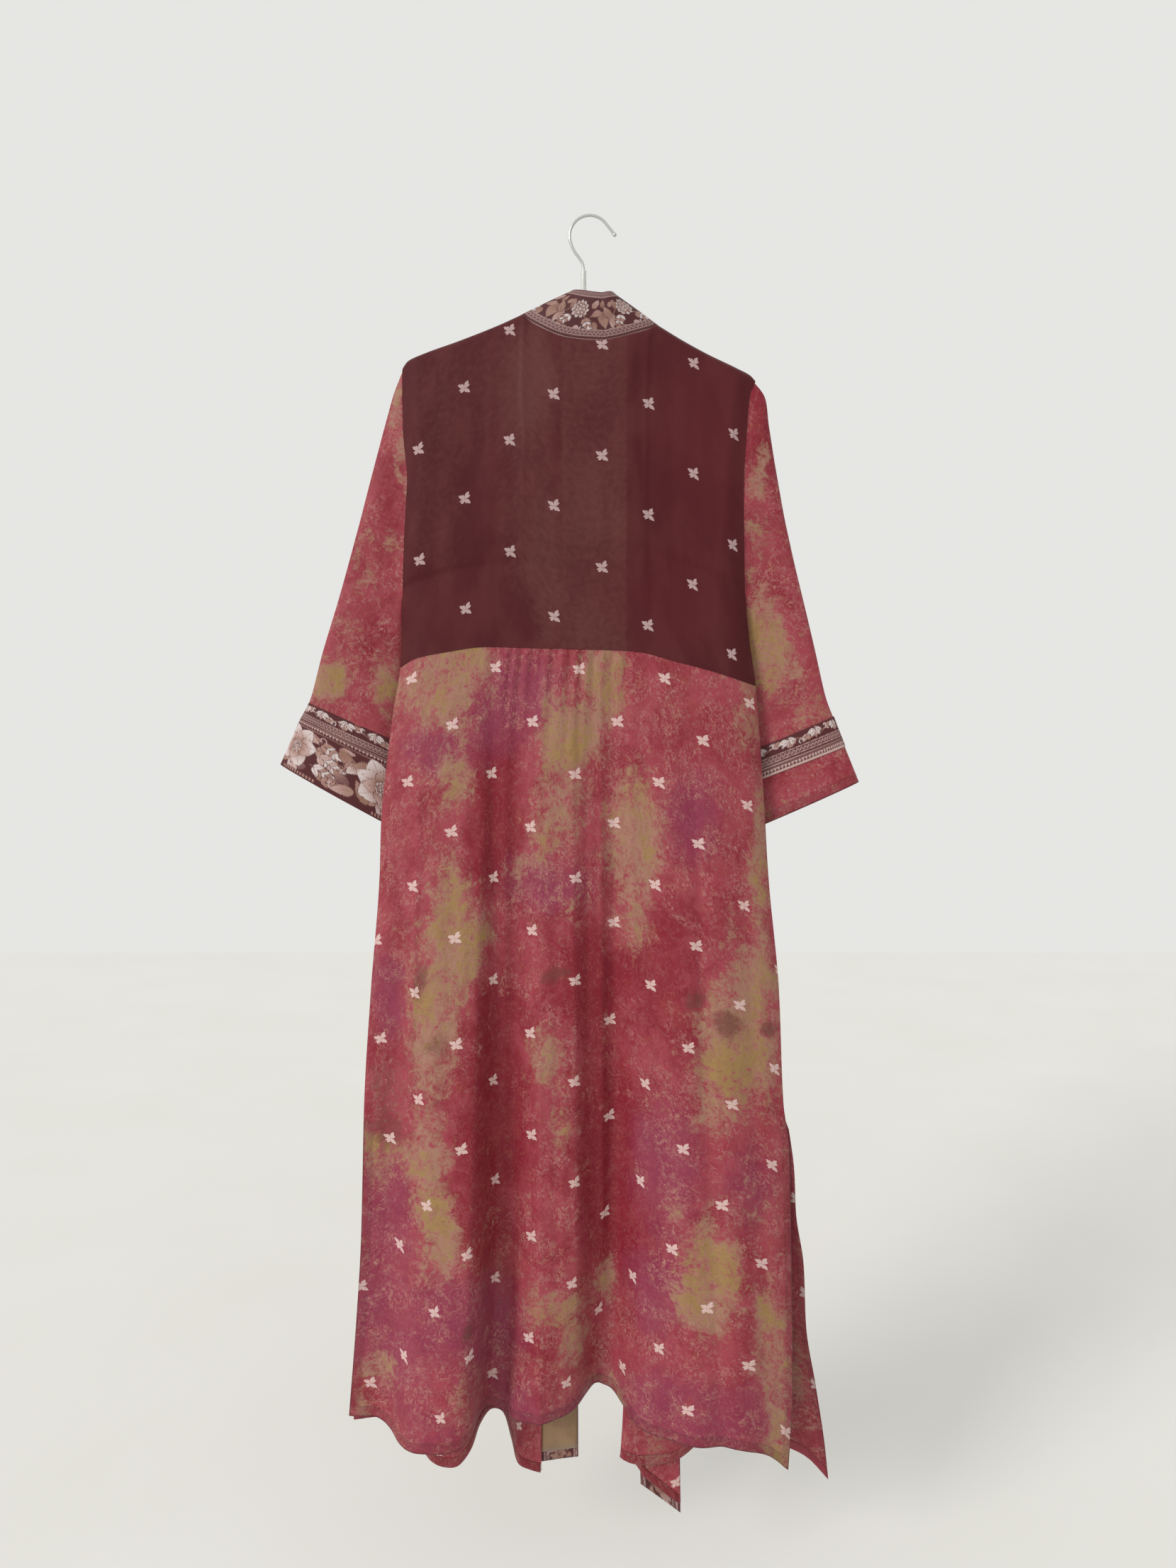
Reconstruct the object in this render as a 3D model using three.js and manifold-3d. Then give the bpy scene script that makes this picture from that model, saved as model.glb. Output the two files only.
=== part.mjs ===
// A long open robe of the kimono kind, hanging on a plain clothes hanger with its back towards -Y.
// Millimetres. +Z is up and +X is the wearer's right. The origin is the top inside of the hanger's hook.
// Each cut piece of the garment is one thin wall: a grid of points on the middle of the cloth,
// moved out to both sides by half the cloth's thickness.
import * as THREE from "three";
import { mergeVertices } from "three/addons/utils/BufferGeometryUtils.js";
import Module from "manifold-3d";

// ---- driving dimensions -------------------------------------------------------------------
const CLOTH_WALL = 1.2; // a single layer of the robe's cloth
const BAND_WALL = 1.4; // the heavier woven band round the neck and down the fronts
const TRIM_WALL = 1; // the narrow woven trim round the right sleeve
const FACING_WALL = 1.0; // the plain strip behind the band
const SEAM_GAP = 0.3; // left between two pieces that are sewn together
const WAIST_GAP = 0.5; // and at the gathered seam, where the two meet at an angle
const NECK_GAP = 0.9; // and round the tight curve of the neck
const RIDGE_HALF_GAP = 0.8; // middle of each layer from the shoulder seam's plane
const SIDE_HALF_GAP = 0.75; // middle of each layer from the side seam's plane

const UNDERARM_Z = -430;
const SLIT_TOP_Z = -1078; // the side seams are open below this
const ARMHOLE_GAP = 1.7; // from the body's armhole edge to the sleeve's, whose edges meet at an angle
const ROW_GAP = 0.012; // share of a row left open at a seam across it
const ARMHOLE_HALF_DEPTH = 9; // half the armhole's width, front to back
const ROUNDNESS = 0.85; // 1 is an ellipse, and less is fuller towards its ends
const BACK_DEPTH = 18; // how far the back hangs behind the hanger's plane at the yoke seam
const SIDE_ROUNDING = 18; // distance over which a side seam's edge rounds into the panel

const FACING_Z = -262; // top of the facings
const TURN_UP = 13; // height of the band's turned-up end, left bare by the facing

const WIRE = 3.4; // hook wire's diameter
const HOOK_RADIUS = 23.5; // to the middle of the wire
const CROOK = [38, 196]; // where the crook's round part starts and ends, in degrees from +X
const HOOK_TIP = [28.4, -19.5]; // x and z of the wire's open end, which carries a small ball
const BALL_RADIUS = 2.45;
const STEM_X = -7.4;
const STEM_END_Z = -76; // down inside the hanger's neck
const BORE_LENGTH = 40; // long enough to come out of the neck's top
const HANGER_DEPTH = 8;
const HANGER_EDGE = 3; // its rounded edges
const ARM_HEIGHT = 13;
const ARM_TAPER = 20; // length of each arm's thinning end
const ARM_ENDS_X = [-216, 191]; // where the arms would thin to nothing
const ARM_CLEARANCE = 1.4; // from the shoulder seam's middle to the top of the arm
const NECK_WIDTH = 6.6;
const NECK_TOP_Z = -61;
const NECK_FOOT_Z = -91;
const NECK_FLARE = 2; // wider at its foot on each side

// ---- tables -------------------------------------------------------------------------------
const table = (columns, rows) =>
  rows.map((row) => Object.fromEntries(columns.split(" ").map((name, i) => [name, row[i]])));

// Shoulder seams, from the tips to the neck.
const SHOULDER_LEFT = table("x z", [
  [-220, -173.5],
  [-214, -165.5],
  [-197, -157.5],
  [-152, -141.5],
  [-108, -124.5],
  [-81.5, -112.8],
]);
const SHOULDER_RIGHT = table("x z", [
  [81, -124.8],
  [109, -141.5],
  [139, -157.5],
  [173, -173.5],
  [189, -182],
  [195, -188.5],
]);

// Outer edge of the body at each height: armhole, side seam, then the back panel's slit edge.
const SIDE_LEFT = table("z x", [
  [-1449, -299],
  [-1320, -288],
  [-1229, -282],
  [-1053, -276],
  [-913, -266],
  [-776, -254],
  [-704, -251],
  [-625, -242],
  [-568, -234],
  [-521, -226],
  [-447, -223],
  [-341, -217],
  [-301, -214.5],
  [-246, -219],
  [-173.5, -220],
]);
const SIDE_RIGHT = table("z x", [
  [-1506, 244],
  [-1405, 249],
  [-1189, 247],
  [-1113, 245],
  [-1053, 237],
  [-913, 230],
  [-776, 216],
  [-674, 209],
  [-543, 198],
  [-489, 190],
  [-406, 183],
  [-309, 181],
  [-230, 185],
  [-203, 188],
  [-188.5, 195],
]);
// The right front's own slit edge, which swings out past the back panel.
const FRONT_SLIT_RIGHT = table("z x", [
  [-1549, 303],
  [-1504, 298],
  [-1424, 285],
  [-1344, 271],
  [-1262, 266],
  [-1194, 255],
  [-1141, 252],
  [-1078, 243],
]);

const YOKE_SEAM = table("x z", [
  [-226, -521],
  [-207, -511],
  [-172, -504],
  [-122, -497.5],
  [-60, -499],
  [44, -502],
  [65, -504.5],
  [99, -514],
  [141, -525],
  [198, -543],
]);

// Hems, from the left of each panel to its right. y is the depth of each fold there.
const BACK_HEM = table("x y z", [
  [-299, -5, -1449],
  [-265, -10, -1449],
  [-243, -22, -1457],
  [-223, -42, -1468],
  [-192, -56, -1466],
  [-163, -55, -1462],
  [-144, -40, -1452],
  [-138, -16, -1444],
  [-126, 8, -1445],
  [-109, 10, -1450],
  [-94, -16, -1447],
  [-74, -33, -1442],
  [-50, -34, -1440],
  [-25, -18, -1437],
  [-4, 8, -1428],
  [10, 20, -1421],
  [24, 16, -1423],
  [40, -4, -1434],
  [57, -24, -1446],
  [82, -38, -1455],
  [125, -46, -1461],
  [168, -46, -1464],
  [212, -36, -1479],
  [244, -24, -1506],
]);
const FRONT_LEFT_HEM = table("x y z", [
  [-296, 9, -1463],
  [-262, 24, -1470],
  [-228, 32, -1496],
  [-202, 26, -1529],
  [-186, 22, -1534],
  [-168, 22, -1533],
  [-152, 32, -1518],
  [-141, 52, -1495],
  [-128, 66, -1485],
  [-114, 64, -1487],
  [-101, 44, -1510],
  [-91, 30, -1535],
  [-76, 27, -1541],
  [-62.5, 27.1, -1545],
]);
const FRONT_RIGHT_HEM = table("x y z", [
  [303, 20, -1549],
  [276, 24, -1522],
  [248, 34, -1513],
  [215, 46, -1502],
  [180, 34, -1497],
  [152, 38, -1500],
  [134, 22, -1506],
  [110, 11, -1517],
  [80, 8, -1521],
  [56, 7, -1520],
  [42, 7, -1514],
  [38, 12, -1513],
  [42, 17, -1515],
  [57, 19, -1527],
  [70, 20, -1546],
  [92, 21, -1565],
  [115, 20.8, -1583],
]);

// The neck band, one half from the centre back over the shoulder and down each front: its free edge
// (fx fy fz) and its sewn edge (sx sy sz). Row FOLD_ROW is where it turns over the shoulder, and row
// COLLAR_END, just in front of it, is where the collar's piece is joined to the front's.
const FOLD_ROW = 5;
const COLLAR_END = 8;
const BAND_LEFT = table("fx fy fz sx sy sz", [
  [14, -11, -89.8, 17, -14.5, -146],
  [2, -11, -88.6, -12, -14.5, -144.6],
  [-7, -10, -87, -36, -14, -140],
  [-14, -7.5, -85.6, -61, -11, -128],
  [-18.5, -4, -84.6, -76, -6, -118],
  [-20, 0, -84.2, -81, 0, -112.2],
  [-20.5, 4, -85.5, -83, 6, -118],
  [-21, 8, -92, -85, 9.5, -128],
  [-22, 10.8, -120, -86, 13, -150],
  [-23.5, 13.5, -170, -86, 16, -185],
  [-25, 16, -262, -84.5, 18, -262],
  [-24, 20, -480, -81.5, 21, -480],
  [-21, 23, -700, -77, 24, -700],
  [-18, 26, -930, -72, 26, -930],
  [-17, 28, -1150, -68, 28, -1150],
  [-15, 30, -1350, -64, 29.5, -1350],
  [-14.5, 31, -1526, -61.5, 30, -1532],
]);
const BAND_RIGHT = table("fx fy fz sx sy sz", [
  [14, -11, -89.8, 17, -14.5, -146],
  [20, -11, -88.8, 34, -14.2, -142.6],
  [23.5, -9, -87.9, 50, -13, -138],
  [26, -6, -87.3, 66, -9.5, -132.5],
  [27.3, -3, -87, 76, -5, -128],
  [27.5, 0, -87, 80.5, 0, -124.2],
  [28, 4, -88, 83, 6, -130],
  [28.5, 8, -95, 84, 9.5, -140],
  [29, 10.8, -122, 84.5, 13, -160],
  [29.5, 13.5, -172, 85, 16, -195],
  [31, 16, -262, 86, 18, -262],
  [36, 19, -480, 91, 20, -480],
  [41, 21, -700, 96, 21.5, -700],
  [47, 22.5, -930, 102, 22.5, -930],
  [53, 23.5, -1150, 107, 23.5, -1150],
  [59, 24, -1350, 112, 24, -1360],
  [65, 24.5, -1558, 116, 24, -1596],
]);

// Sleeve sections: the top fold (ax ay az), the underarm fold (bx by bz) and half the depth between.
const SECTION = "ax ay az bx by bz half";
const SLEEVE_LEFT = table(SECTION, [
  [-221, 0, -174.5, -224.2, 0, -430, 9.4],
  [-230.5, 1, -200, -228, 5.5, -443, 10],
  [-241, 2, -236, -229, 9.5, -458, 10.5],
  [-260, 4, -303, -226, 15, -483, 11],
  [-279, 6, -370, -221, 20, -515, 11],
  [-299, 8, -437, -217, 25, -550, 11],
  [-321, 10, -505, -213, 29, -587, 11],
  [-339, 12, -566, -211, 32, -623, 11],
  [-350, 13, -586, -216, 33, -650, 11.5],
  [-362, 14, -612, -223, 34, -687, 12],
  [-375, 15, -640, -230, 35, -725, 13],
]);
const CUFF_ROW_LEFT = 7; // the cuff's seam
const SLEEVE_RIGHT = table(SECTION, [
  [196, 0, -189.5, 186, 0, -430, 9.4],
  [207, 1, -206, 190, 5.5, -443, 10],
  [212, 2, -240, 191, 9.5, -458, 10.5],
  [223, 4, -303, 189, 15, -483, 11],
  [237, 6, -370, 184, 20, -516, 11],
  [254, 8, -437, 178, 25, -552, 11],
  [271, 10, -503, 171, 29, -590, 11],
  [285, 12, -559, 165, 32, -618, 11],
  [294, 12.5, -582, 166, 33, -637, 11.5],
  [309, 14, -618, 170, 34, -674, 12],
  [327, 15, -661, 176, 35, -731, 13],
]);
const TRIM_ROWS_RIGHT = [8, 9]; // the trim covers the cuff's seam, halfway between its two edges

// Soft folds in the upper back, where the cloth falls from the hanger: centre and width across, depth.
const YOKE_FOLDS = table("x width depth", [
  [-150, 34, 2.5],
  [-75, 30, -2],
  [-10, 36, 2],
  [70, 30, -2],
  [135, 34, 3],
]);
const GATHER = { from: -128, to: 56, waves: 11, depth: 2.2, fade: 70 };

// The hook wire's middle, x and z: from its tip to the crook, and from the crook down the stem.
const HOOK_LEAD = [[23.5, -13.4]];
const HOOK_STEM = [
  [-18.4, -38.5],
  [-12.6, -46.5],
  [-8.8, -52.6],
  [STEM_X, -59],
  [STEM_X, -66],
  [STEM_X, STEM_END_Z],
];
// The top of the hanger between its neck and the straight arms, x and z, from left to right.
const HANGER_LEFT = [
  [-82, -119.5],
  [-50, -105],
  [-22, -94],
];
const HANGER_RIGHT = [
  [30, -97],
  [56, -116],
  [82, -131.5],
];
const ARM_LEFT = { from: -204, to: -94, steps: 6 };
const ARM_RIGHT = { from: 94, to: 178, steps: 5 };

// ---- curves -------------------------------------------------------------------------------
// A smooth function through a table's rows that never overshoots them; keys rise from row to row.
function reader(rows, key, column) {
  const k = rows.map((row) => row[key]);
  const y = rows.map((row) => row[column]);
  const last = k.length - 1;
  const slope = k.slice(1).map((next, i) => (y[i + 1] - y[i]) / (next - k[i]));
  const tangent = k.map((_, i) => {
    if (i === 0) return slope[0];
    if (i === last) return slope[last - 1];
    const [a, b] = [slope[i - 1], slope[i]];
    return a * b <= 0 ? 0 : (2 * a * b) / (a + b);
  });
  return (at) => {
    let i = 0;
    while (i < last - 1 && at > k[i + 1]) i += 1;
    const span = k[i + 1] - k[i];
    const t = Math.min(1, Math.max(0, (at - k[i]) / span));
    const u = 1 - t;
    return (
      y[i] * (1 + 2 * t) * u * u +
      y[i + 1] * (1 + 2 * u) * t * t +
      span * (tangent[i] * t * u * u - tangent[i + 1] * t * t * u)
    );
  };
}

const vector = (x, y, z) => new THREE.Vector3(x, y, z);
const curveOf = (points) => new THREE.CatmullRomCurve3(points, false, "centripetal");
const { lerp, clamp, smoothstep } = THREE.MathUtils;

const sideLeft = reader(SIDE_LEFT, "z", "x");
const sideRight = reader(SIDE_RIGHT, "z", "x");
const frontSlitRight = reader(FRONT_SLIT_RIGHT, "z", "x");
const shoulderLeft = reader(SHOULDER_LEFT, "x", "z");
const shoulderRight = reader(SHOULDER_RIGHT, "x", "z");
const yokeSeam = reader(YOKE_SEAM, "x", "z");

// How far a layer stands off the side seam's plane, rounding in from both side edges.
function standOff(x, left, right, depth) {
  const fromSide = Math.max(0, Math.min(x - left, right - x));
  return SIDE_HALF_GAP + (depth - SIDE_HALF_GAP) * (1 - Math.exp(-fromSide / SIDE_ROUNDING));
}

// A flattened round: its half depth at an angle, as a share of the most.
const flatRound = (sine) => Math.sign(sine) * Math.abs(sine) ** ROUNDNESS;

// Half the width of the armhole at a height, from the shoulder tip to the underarm.
function armholeHalf(z, tipZ) {
  const t = clamp((z - tipZ) / (UNDERARM_Z - tipZ), 0, 1);
  return SIDE_HALF_GAP + ARMHOLE_HALF_DEPTH * flatRound(Math.sqrt(Math.max(0, 1 - (2 * t - 1) ** 2)));
}

// A surface between four edges: top and hem run across (0 to 1), the sides run down (0 to 1).
function patch(top, hem, left, right) {
  const corners = [top(0), top(1), hem(0), hem(1)];
  return (u, v) =>
    top(u)
      .multiplyScalar(1 - v)
      .addScaledVector(hem(u), v)
      .addScaledVector(left(v), 1 - u)
      .addScaledVector(right(v), u)
      .addScaledVector(corners[0], -(1 - u) * (1 - v))
      .addScaledVector(corners[1], -u * (1 - v))
      .addScaledVector(corners[2], -(1 - u) * v)
      .addScaledVector(corners[3], -u * v);
}

// ---- solids -------------------------------------------------------------------------------
function signedVolume(points, faces) {
  let sum = 0;
  const cross = vector(0, 0, 0);
  for (const [a, b, c] of faces) sum += points[a].dot(cross.crossVectors(points[b], points[c]));
  return sum / 6;
}

function geometryOf(points, faces) {
  const outward = signedVolume(points, faces) > 0 ? faces : faces.map(([a, b, c]) => [a, c, b]);
  const geometry = new THREE.BufferGeometry();
  geometry.setAttribute("position", new THREE.Float32BufferAttribute(points.flatMap((p) => p.toArray()), 3));
  geometry.setIndex(outward.flat());
  return geometry;
}

// Unit normals of a grid of points: grid[i][j], i across or around, j down.
function normalsOf(grid, closed) {
  const columns = grid.length;
  const rows = grid[0].length;
  return grid.map((line, i) =>
    line.map((_, j) => {
      const before = closed ? (i + columns - 1) % columns : Math.max(0, i - 1);
      const after = closed ? (i + 1) % columns : Math.min(columns - 1, i + 1);
      const across = vector(0, 0, 0).subVectors(grid[after][j], grid[before][j]);
      const down = vector(0, 0, 0).subVectors(line[Math.min(rows - 1, j + 1)], line[Math.max(0, j - 1)]);
      return across.cross(down).normalize();
    }),
  );
}

// The closed wall of cloth of a given thickness whose middle is the grid.
function wall(grid, thickness, closed = false) {
  const columns = grid.length;
  const rows = grid[0].length;
  const normals = normalsOf(grid, closed);
  const points = [];
  for (const side of [0.5, -0.5])
    grid.forEach((line, i) =>
      line.forEach((p, j) => points.push(p.clone().addScaledVector(normals[i][j], side * thickness))),
    );
  const outer = (i, j) => (i % columns) * rows + j;
  const inner = (i, j) => outer(i, j) + columns * rows;
  const faces = [];
  const span = (a, b) => points[a].distanceToSquared(points[b]);
  const quad = (a, b, c, d) => {
    if (span(a, c) < span(b, d)) faces.push([a, b, c], [a, c, d]);
    else faces.push([b, c, d], [b, d, a]);
  };
  const end = columns - 1;
  const spans = closed ? columns : end;
  for (let i = 0; i < spans; i += 1) {
    for (let j = 0; j < rows - 1; j += 1) {
      quad(outer(i, j), outer(i + 1, j), outer(i + 1, j + 1), outer(i, j + 1));
      quad(inner(i, j), inner(i, j + 1), inner(i + 1, j + 1), inner(i + 1, j));
    }
    quad(inner(i, 0), inner(i + 1, 0), outer(i + 1, 0), outer(i, 0));
    quad(outer(i, rows - 1), outer(i + 1, rows - 1), inner(i + 1, rows - 1), inner(i, rows - 1));
  }
  if (!closed)
    for (let j = 0; j < rows - 1; j += 1) {
      quad(outer(0, j), outer(0, j + 1), inner(0, j + 1), inner(0, j));
      quad(inner(end, j), inner(end, j + 1), outer(end, j + 1), outer(end, j));
    }
  return geometryOf(points, faces);
}

const gridOf = (surface, across, down) => across.map((u) => down.map((v) => surface(u, v)));
const steps = (count) => Array.from({ length: count + 1 }, (_, i) => i / count);

// ---- the neck band ------------------------------------------------------------------------
// A half of the band: sections from the centre back (0) to the hem (rows - 1), as smooth edge curves.
function bandHalf(rows, side) {
  const free = curveOf(rows.map((r) => vector(r.fx, r.fy, r.fz)));
  const sewn = curveOf(rows.map((r) => vector(r.sx, r.sy, r.sz)));
  const last = rows.length - 1;
  const centreGap = vector((side * SEAM_GAP) / 2, 0, 0);
  const section = (row) => {
    const ends = [free.getPoint(row / last), sewn.getPoint(row / last)];
    return row === 0 ? ends.map((p) => p.add(centreGap)) : ends;
  };
  // The sewn edge on the front, at a height.
  const samples = Array.from({ length: 401 }, (_, i) => section(lerp(FOLD_ROW, last, i / 400))[1]);
  const sewnAt = (z) => {
    const i = clamp(samples.findIndex((p) => p.z <= z), 1, samples.length - 1);
    const [a, b] = [samples[i - 1], samples[i]];
    return a.clone().lerp(b, clamp((a.z - z) / (a.z - b.z), 0, 1));
  };
  return { section, sewnAt, last };
}
const bandLeft = bandHalf(BAND_LEFT, -1);
const bandRight = bandHalf(BAND_RIGHT, 1);

// The collar is the band round the back and over the shoulder, in sections half a row apart.
const COLLAR_ROWS = steps(2 * COLLAR_END).map((t) => t * COLLAR_END);
const FRONT_BAND_ROWS = [COLLAR_END + ROW_GAP, ...BAND_LEFT.keys().drop(COLLAR_END + 1)];
const BAND_ACROSS = steps(3);

function bandGrid(band, rows) {
  const sections = rows.map((row) => band.section(row));
  return BAND_ACROSS.map((u) => sections.map(([free, sewn]) => free.clone().lerp(sewn, u)));
}

// The facing is the band's own surface below FACING_Z, moved in, and stops above the turned-up end.
function facingGrid(band) {
  const inset = BAND_WALL / 2 + SEAM_GAP + FACING_WALL / 2;
  const top = BAND_LEFT.findIndex((row) => row.sz === FACING_Z);
  const count = band.last - top;
  const sections = steps(count).map((t) => band.section(top + t * count));
  const [above, end] = sections.slice(-2);
  const length = above[0].distanceTo(end[0]);
  sections[count] = end.map((p, i) => p.clone().lerp(above[i], TURN_UP / length));
  return BAND_ACROSS.map((u) =>
    sections.map(([free, sewn]) => free.clone().lerp(sewn, lerp(0.02, 1, u)).add(vector(0, -inset, 0))),
  );
}
const FRONT_INSET = (BAND_WALL + CLOTH_WALL) / 2 + FACING_WALL + 3 * SEAM_GAP;

// ---- the back -----------------------------------------------------------------------------
// Middle of the cloth along the yoke seam, from left (0) to right (1).
function seamPoint(u) {
  const [left, right] = [YOKE_SEAM[0].x, YOKE_SEAM.at(-1).x];
  const x = lerp(left, right, u);
  return vector(x, -standOff(x, left, right, BACK_DEPTH), yokeSeam(x));
}

// Points along the yoke's top edge: the left shoulder, the neckline under the band, the right shoulder.
function yokeTop() {
  const shoulder = (line, from, to, count) =>
    steps(count).map((t) => {
      const x = lerp(from, to, t);
      return vector(x, -RIDGE_HALF_GAP, line(x));
    });
  const neckEdge = (band, row) => {
    const [free, sewn] = band.section(row);
    const out = sewn.clone().sub(free).normalize();
    const p = sewn.addScaledVector(out, NECK_GAP);
    p.y = Math.min(p.y, -RIDGE_HALF_GAP);
    return p;
  };
  const half = steps(2 * FOLD_ROW).map((t) => t * FOLD_ROW);
  return [
    ...shoulder(shoulderLeft, -220, -86, 9),
    ...half.toReversed().map((row) => neckEdge(bandLeft, row)),
    ...half.slice(1).map((row) => neckEdge(bandRight, row)),
    ...shoulder(shoulderRight, 85, 195, 8),
  ];
}

const YOKE_ROWS = [0, 0.005, 0.012, 0.03, 0.08, 0.18, 0.32, 0.48, 0.65, 0.82, 1];
const ROLL = { depth: 5.8, height: 3, fade: 80 }; // how the cloth rolls over the hanger's arms

function yokeGrid() {
  const top = yokeTop();
  const [first, last] = [top[0], top.at(-1)];
  const shares = top.map((p) => (p.x - first.x) / (last.x - first.x));
  const topAt = (u) => top[shares.indexOf(u)].clone();
  const seam = (u) => seamPoint(u).add(vector(0, 0, WAIST_GAP / 2));
  const side = (edge, tip, sign) => (v) => {
    const z = lerp(tip.z, seam(sign < 0 ? 0 : 1).z, v);
    return vector(edge(z), -armholeHalf(z, tip.z), z);
  };
  const sides = [side(sideLeft, first, -1), side(sideRight, last, 1)];
  const surface = patch(topAt, seam, ...sides.map((edge, i) => (v) => (v === 0 ? topAt(i) : edge(v))));
  return top.map((edge, i) =>
    YOKE_ROWS.map((v) => {
      const u = shares[i];
      const p = surface(u, v);
      const drop = v * (edge.z - seam(u).z);
      const onArm = smoothstep(edge.y, -9, -RIDGE_HALF_GAP) * smoothstep(Math.min(u, 1 - u), 0, 0.05);
      p.y -= ROLL.depth * onArm * (1 - Math.exp(-drop / ROLL.height)) * (1 - v);
      for (const fold of YOKE_FOLDS)
        p.y += fold.depth * Math.exp(-(((p.x - fold.x) / fold.width) ** 2)) * Math.sin(Math.PI * v) ** 2;
      return p;
    }),
  );
}

const SKIRT_ROWS = [0, 0.02, 0.045, 0.08, 0.13, 0.2, 0.28, 0.37, 0.46, 0.55, 0.64, 0.73, 0.82, 0.9, 0.96, 1];

function skirtColumns() {
  const [left, right] = [YOKE_SEAM[0].x, YOKE_SEAM.at(-1).x];
  const share = (x) => (x - left) / (right - left);
  const [from, to] = [share(GATHER.from), share(GATHER.to)];
  const inGathers = 2 * GATHER.waves;
  return [
    ...steps(13).map((t) => t * from),
    ...steps(inGathers).slice(1).map((t) => lerp(from, to, t)),
    ...steps(16).slice(1).map((t) => lerp(to, 1, t)),
  ];
}

function skirtGrid() {
  const hem = curveOf(BACK_HEM.map((r) => vector(r.x, r.y, r.z)));
  const top = (u) => seamPoint(u).add(vector(0, 0, -WAIST_GAP / 2));
  const side = (edge, end, u) => (v) => {
    const z = lerp(top(u).z, end.z, v);
    const open = smoothstep(SLIT_TOP_Z - z, 0, SLIT_TOP_Z - end.z);
    return vector(edge(z), lerp(-SIDE_HALF_GAP, end.y, open), z);
  };
  const surface = patch(
    top,
    (u) => hem.getPointAt(u),
    side(sideLeft, BACK_HEM[0], 0),
    side(sideRight, BACK_HEM.at(-1), 1),
  );
  return skirtColumns().map((u) =>
    SKIRT_ROWS.map((v) => {
      const p = surface(u, v);
      const t = (top(u).x - GATHER.from) / (GATHER.to - GATHER.from);
      if (t > 0 && t < 1) {
        const drop = top(u).z - p.z;
        const envelope = Math.sin(Math.PI * t) ** 0.5 * Math.exp(-drop / GATHER.fade);
        p.y += GATHER.depth * envelope * Math.cos(2 * Math.PI * GATHER.waves * t);
      }
      return p;
    }),
  );
}

// ---- the fronts ---------------------------------------------------------------------------
const FRONT_ROWS = [
  0, 0.0014, 0.0035, 0.009, 0.025, 0.055, 0.09, 0.13, 0.18, 0.25, 0.32, 0.4, 0.51, 0.63, 0.75, 0.88, 1,
];

// side: -1 for the left front, 1 for the right. Across, 0 is the side seam and 1 the band's seam, with
// a column at each row of the hem's table and halfway between the rows of its folds. topShare says
// where each column starts on the shoulder.
function frontGrid({ side, band, hemRows, folds, shoulder, tipX, edge, slitEdge, topShare }) {
  const hemPoints = hemRows.map((r) => vector(r.x, r.y, r.z));
  const hemCurve = curveOf(hemPoints);
  const hem = (u) => hemCurve.getPoint(u);
  const [free, sewn] = band.section(FOLD_ROW);
  const neck = sewn.clone().addScaledVector(sewn.clone().sub(free).normalize(), NECK_GAP);
  const top = (u) => {
    const x = lerp(tipX, neck.x, topShare(u));
    return vector(x, RIDGE_HALF_GAP, u === 1 ? neck.z : shoulder(x));
  };
  const [tip, hemSide, hemBand] = [top(0), hemPoints[0], hemPoints.at(-1)];
  const sideSeam = (v) => {
    const z = lerp(tip.z, hemSide.z, v);
    if (z > SLIT_TOP_Z) return vector(edge(z), z > UNDERARM_Z ? armholeHalf(z, tip.z) : SIDE_HALF_GAP, z);
    const open = smoothstep(SLIT_TOP_Z - z, 0, SLIT_TOP_Z - hemSide.z);
    return vector(slitEdge(z), lerp(SIDE_HALF_GAP, hemSide.y, open), z);
  };
  const bandSeam = (v) => {
    if (v === 0) return top(1);
    if (v === 1) return hemBand.clone();
    const z = lerp(neck.z, hemBand.z, v);
    const p = band.sewnAt(z);
    const inset = FRONT_INSET * smoothstep(neck.z - z, 0, neck.z - FACING_Z);
    return vector(p.x + side * NECK_GAP, Math.max(p.y - inset, RIDGE_HALF_GAP), z);
  };
  const surface = patch(
    top,
    hem,
    (v) => (v === 0 ? top(0) : sideSeam(v)),
    bandSeam,
  );
  const lastRow = hemRows.length - 1;
  const columns = steps(2 * lastRow).filter((u) => {
    const row = u * lastRow;
    return Number.isInteger(row) || (row > folds[0] && row < folds[1]);
  });
  return columns.map((u) =>
    FRONT_ROWS.map((v) => {
      const p = surface(u, v);
      const growth = lerp(2, 1, smoothstep(u, 0.5, 0.65));
      const foldDepth = hem(u).y - lerp(hemSide.y, hemBand.y, u);
      const onArm = smoothstep(u, 0, 0.1) * smoothstep(1 - u, 0, 0.12);
      const drop = v * (top(u).z - hemBand.z);
      const rise = 1 - Math.exp(-drop / ROLL.height);
      const roll = ROLL.depth * onArm * rise * Math.exp(-((drop / ROLL.fade) ** 2));
      p.y = lerp(surface(0, v).y, surface(1, v).y, u) + foldDepth * v ** growth + roll;
      return p;
    }),
  );
}

// The right front's fold edge, where its hem is furthest in: its column, and the share of the shoulder
// left outside it.
const foldRow = FRONT_RIGHT_HEM.findIndex((row) => row.x === 38);
const FOLD_EDGE = { u: foldRow / (FRONT_RIGHT_HEM.length - 1), share: 0.43 };
function rightTopShare(u) {
  if (u < FOLD_EDGE.u) return (u / FOLD_EDGE.u) * FOLD_EDGE.share;
  return 1 - ((1 - u) / (1 - FOLD_EDGE.u)) * (1 - FOLD_EDGE.share);
}

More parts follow.
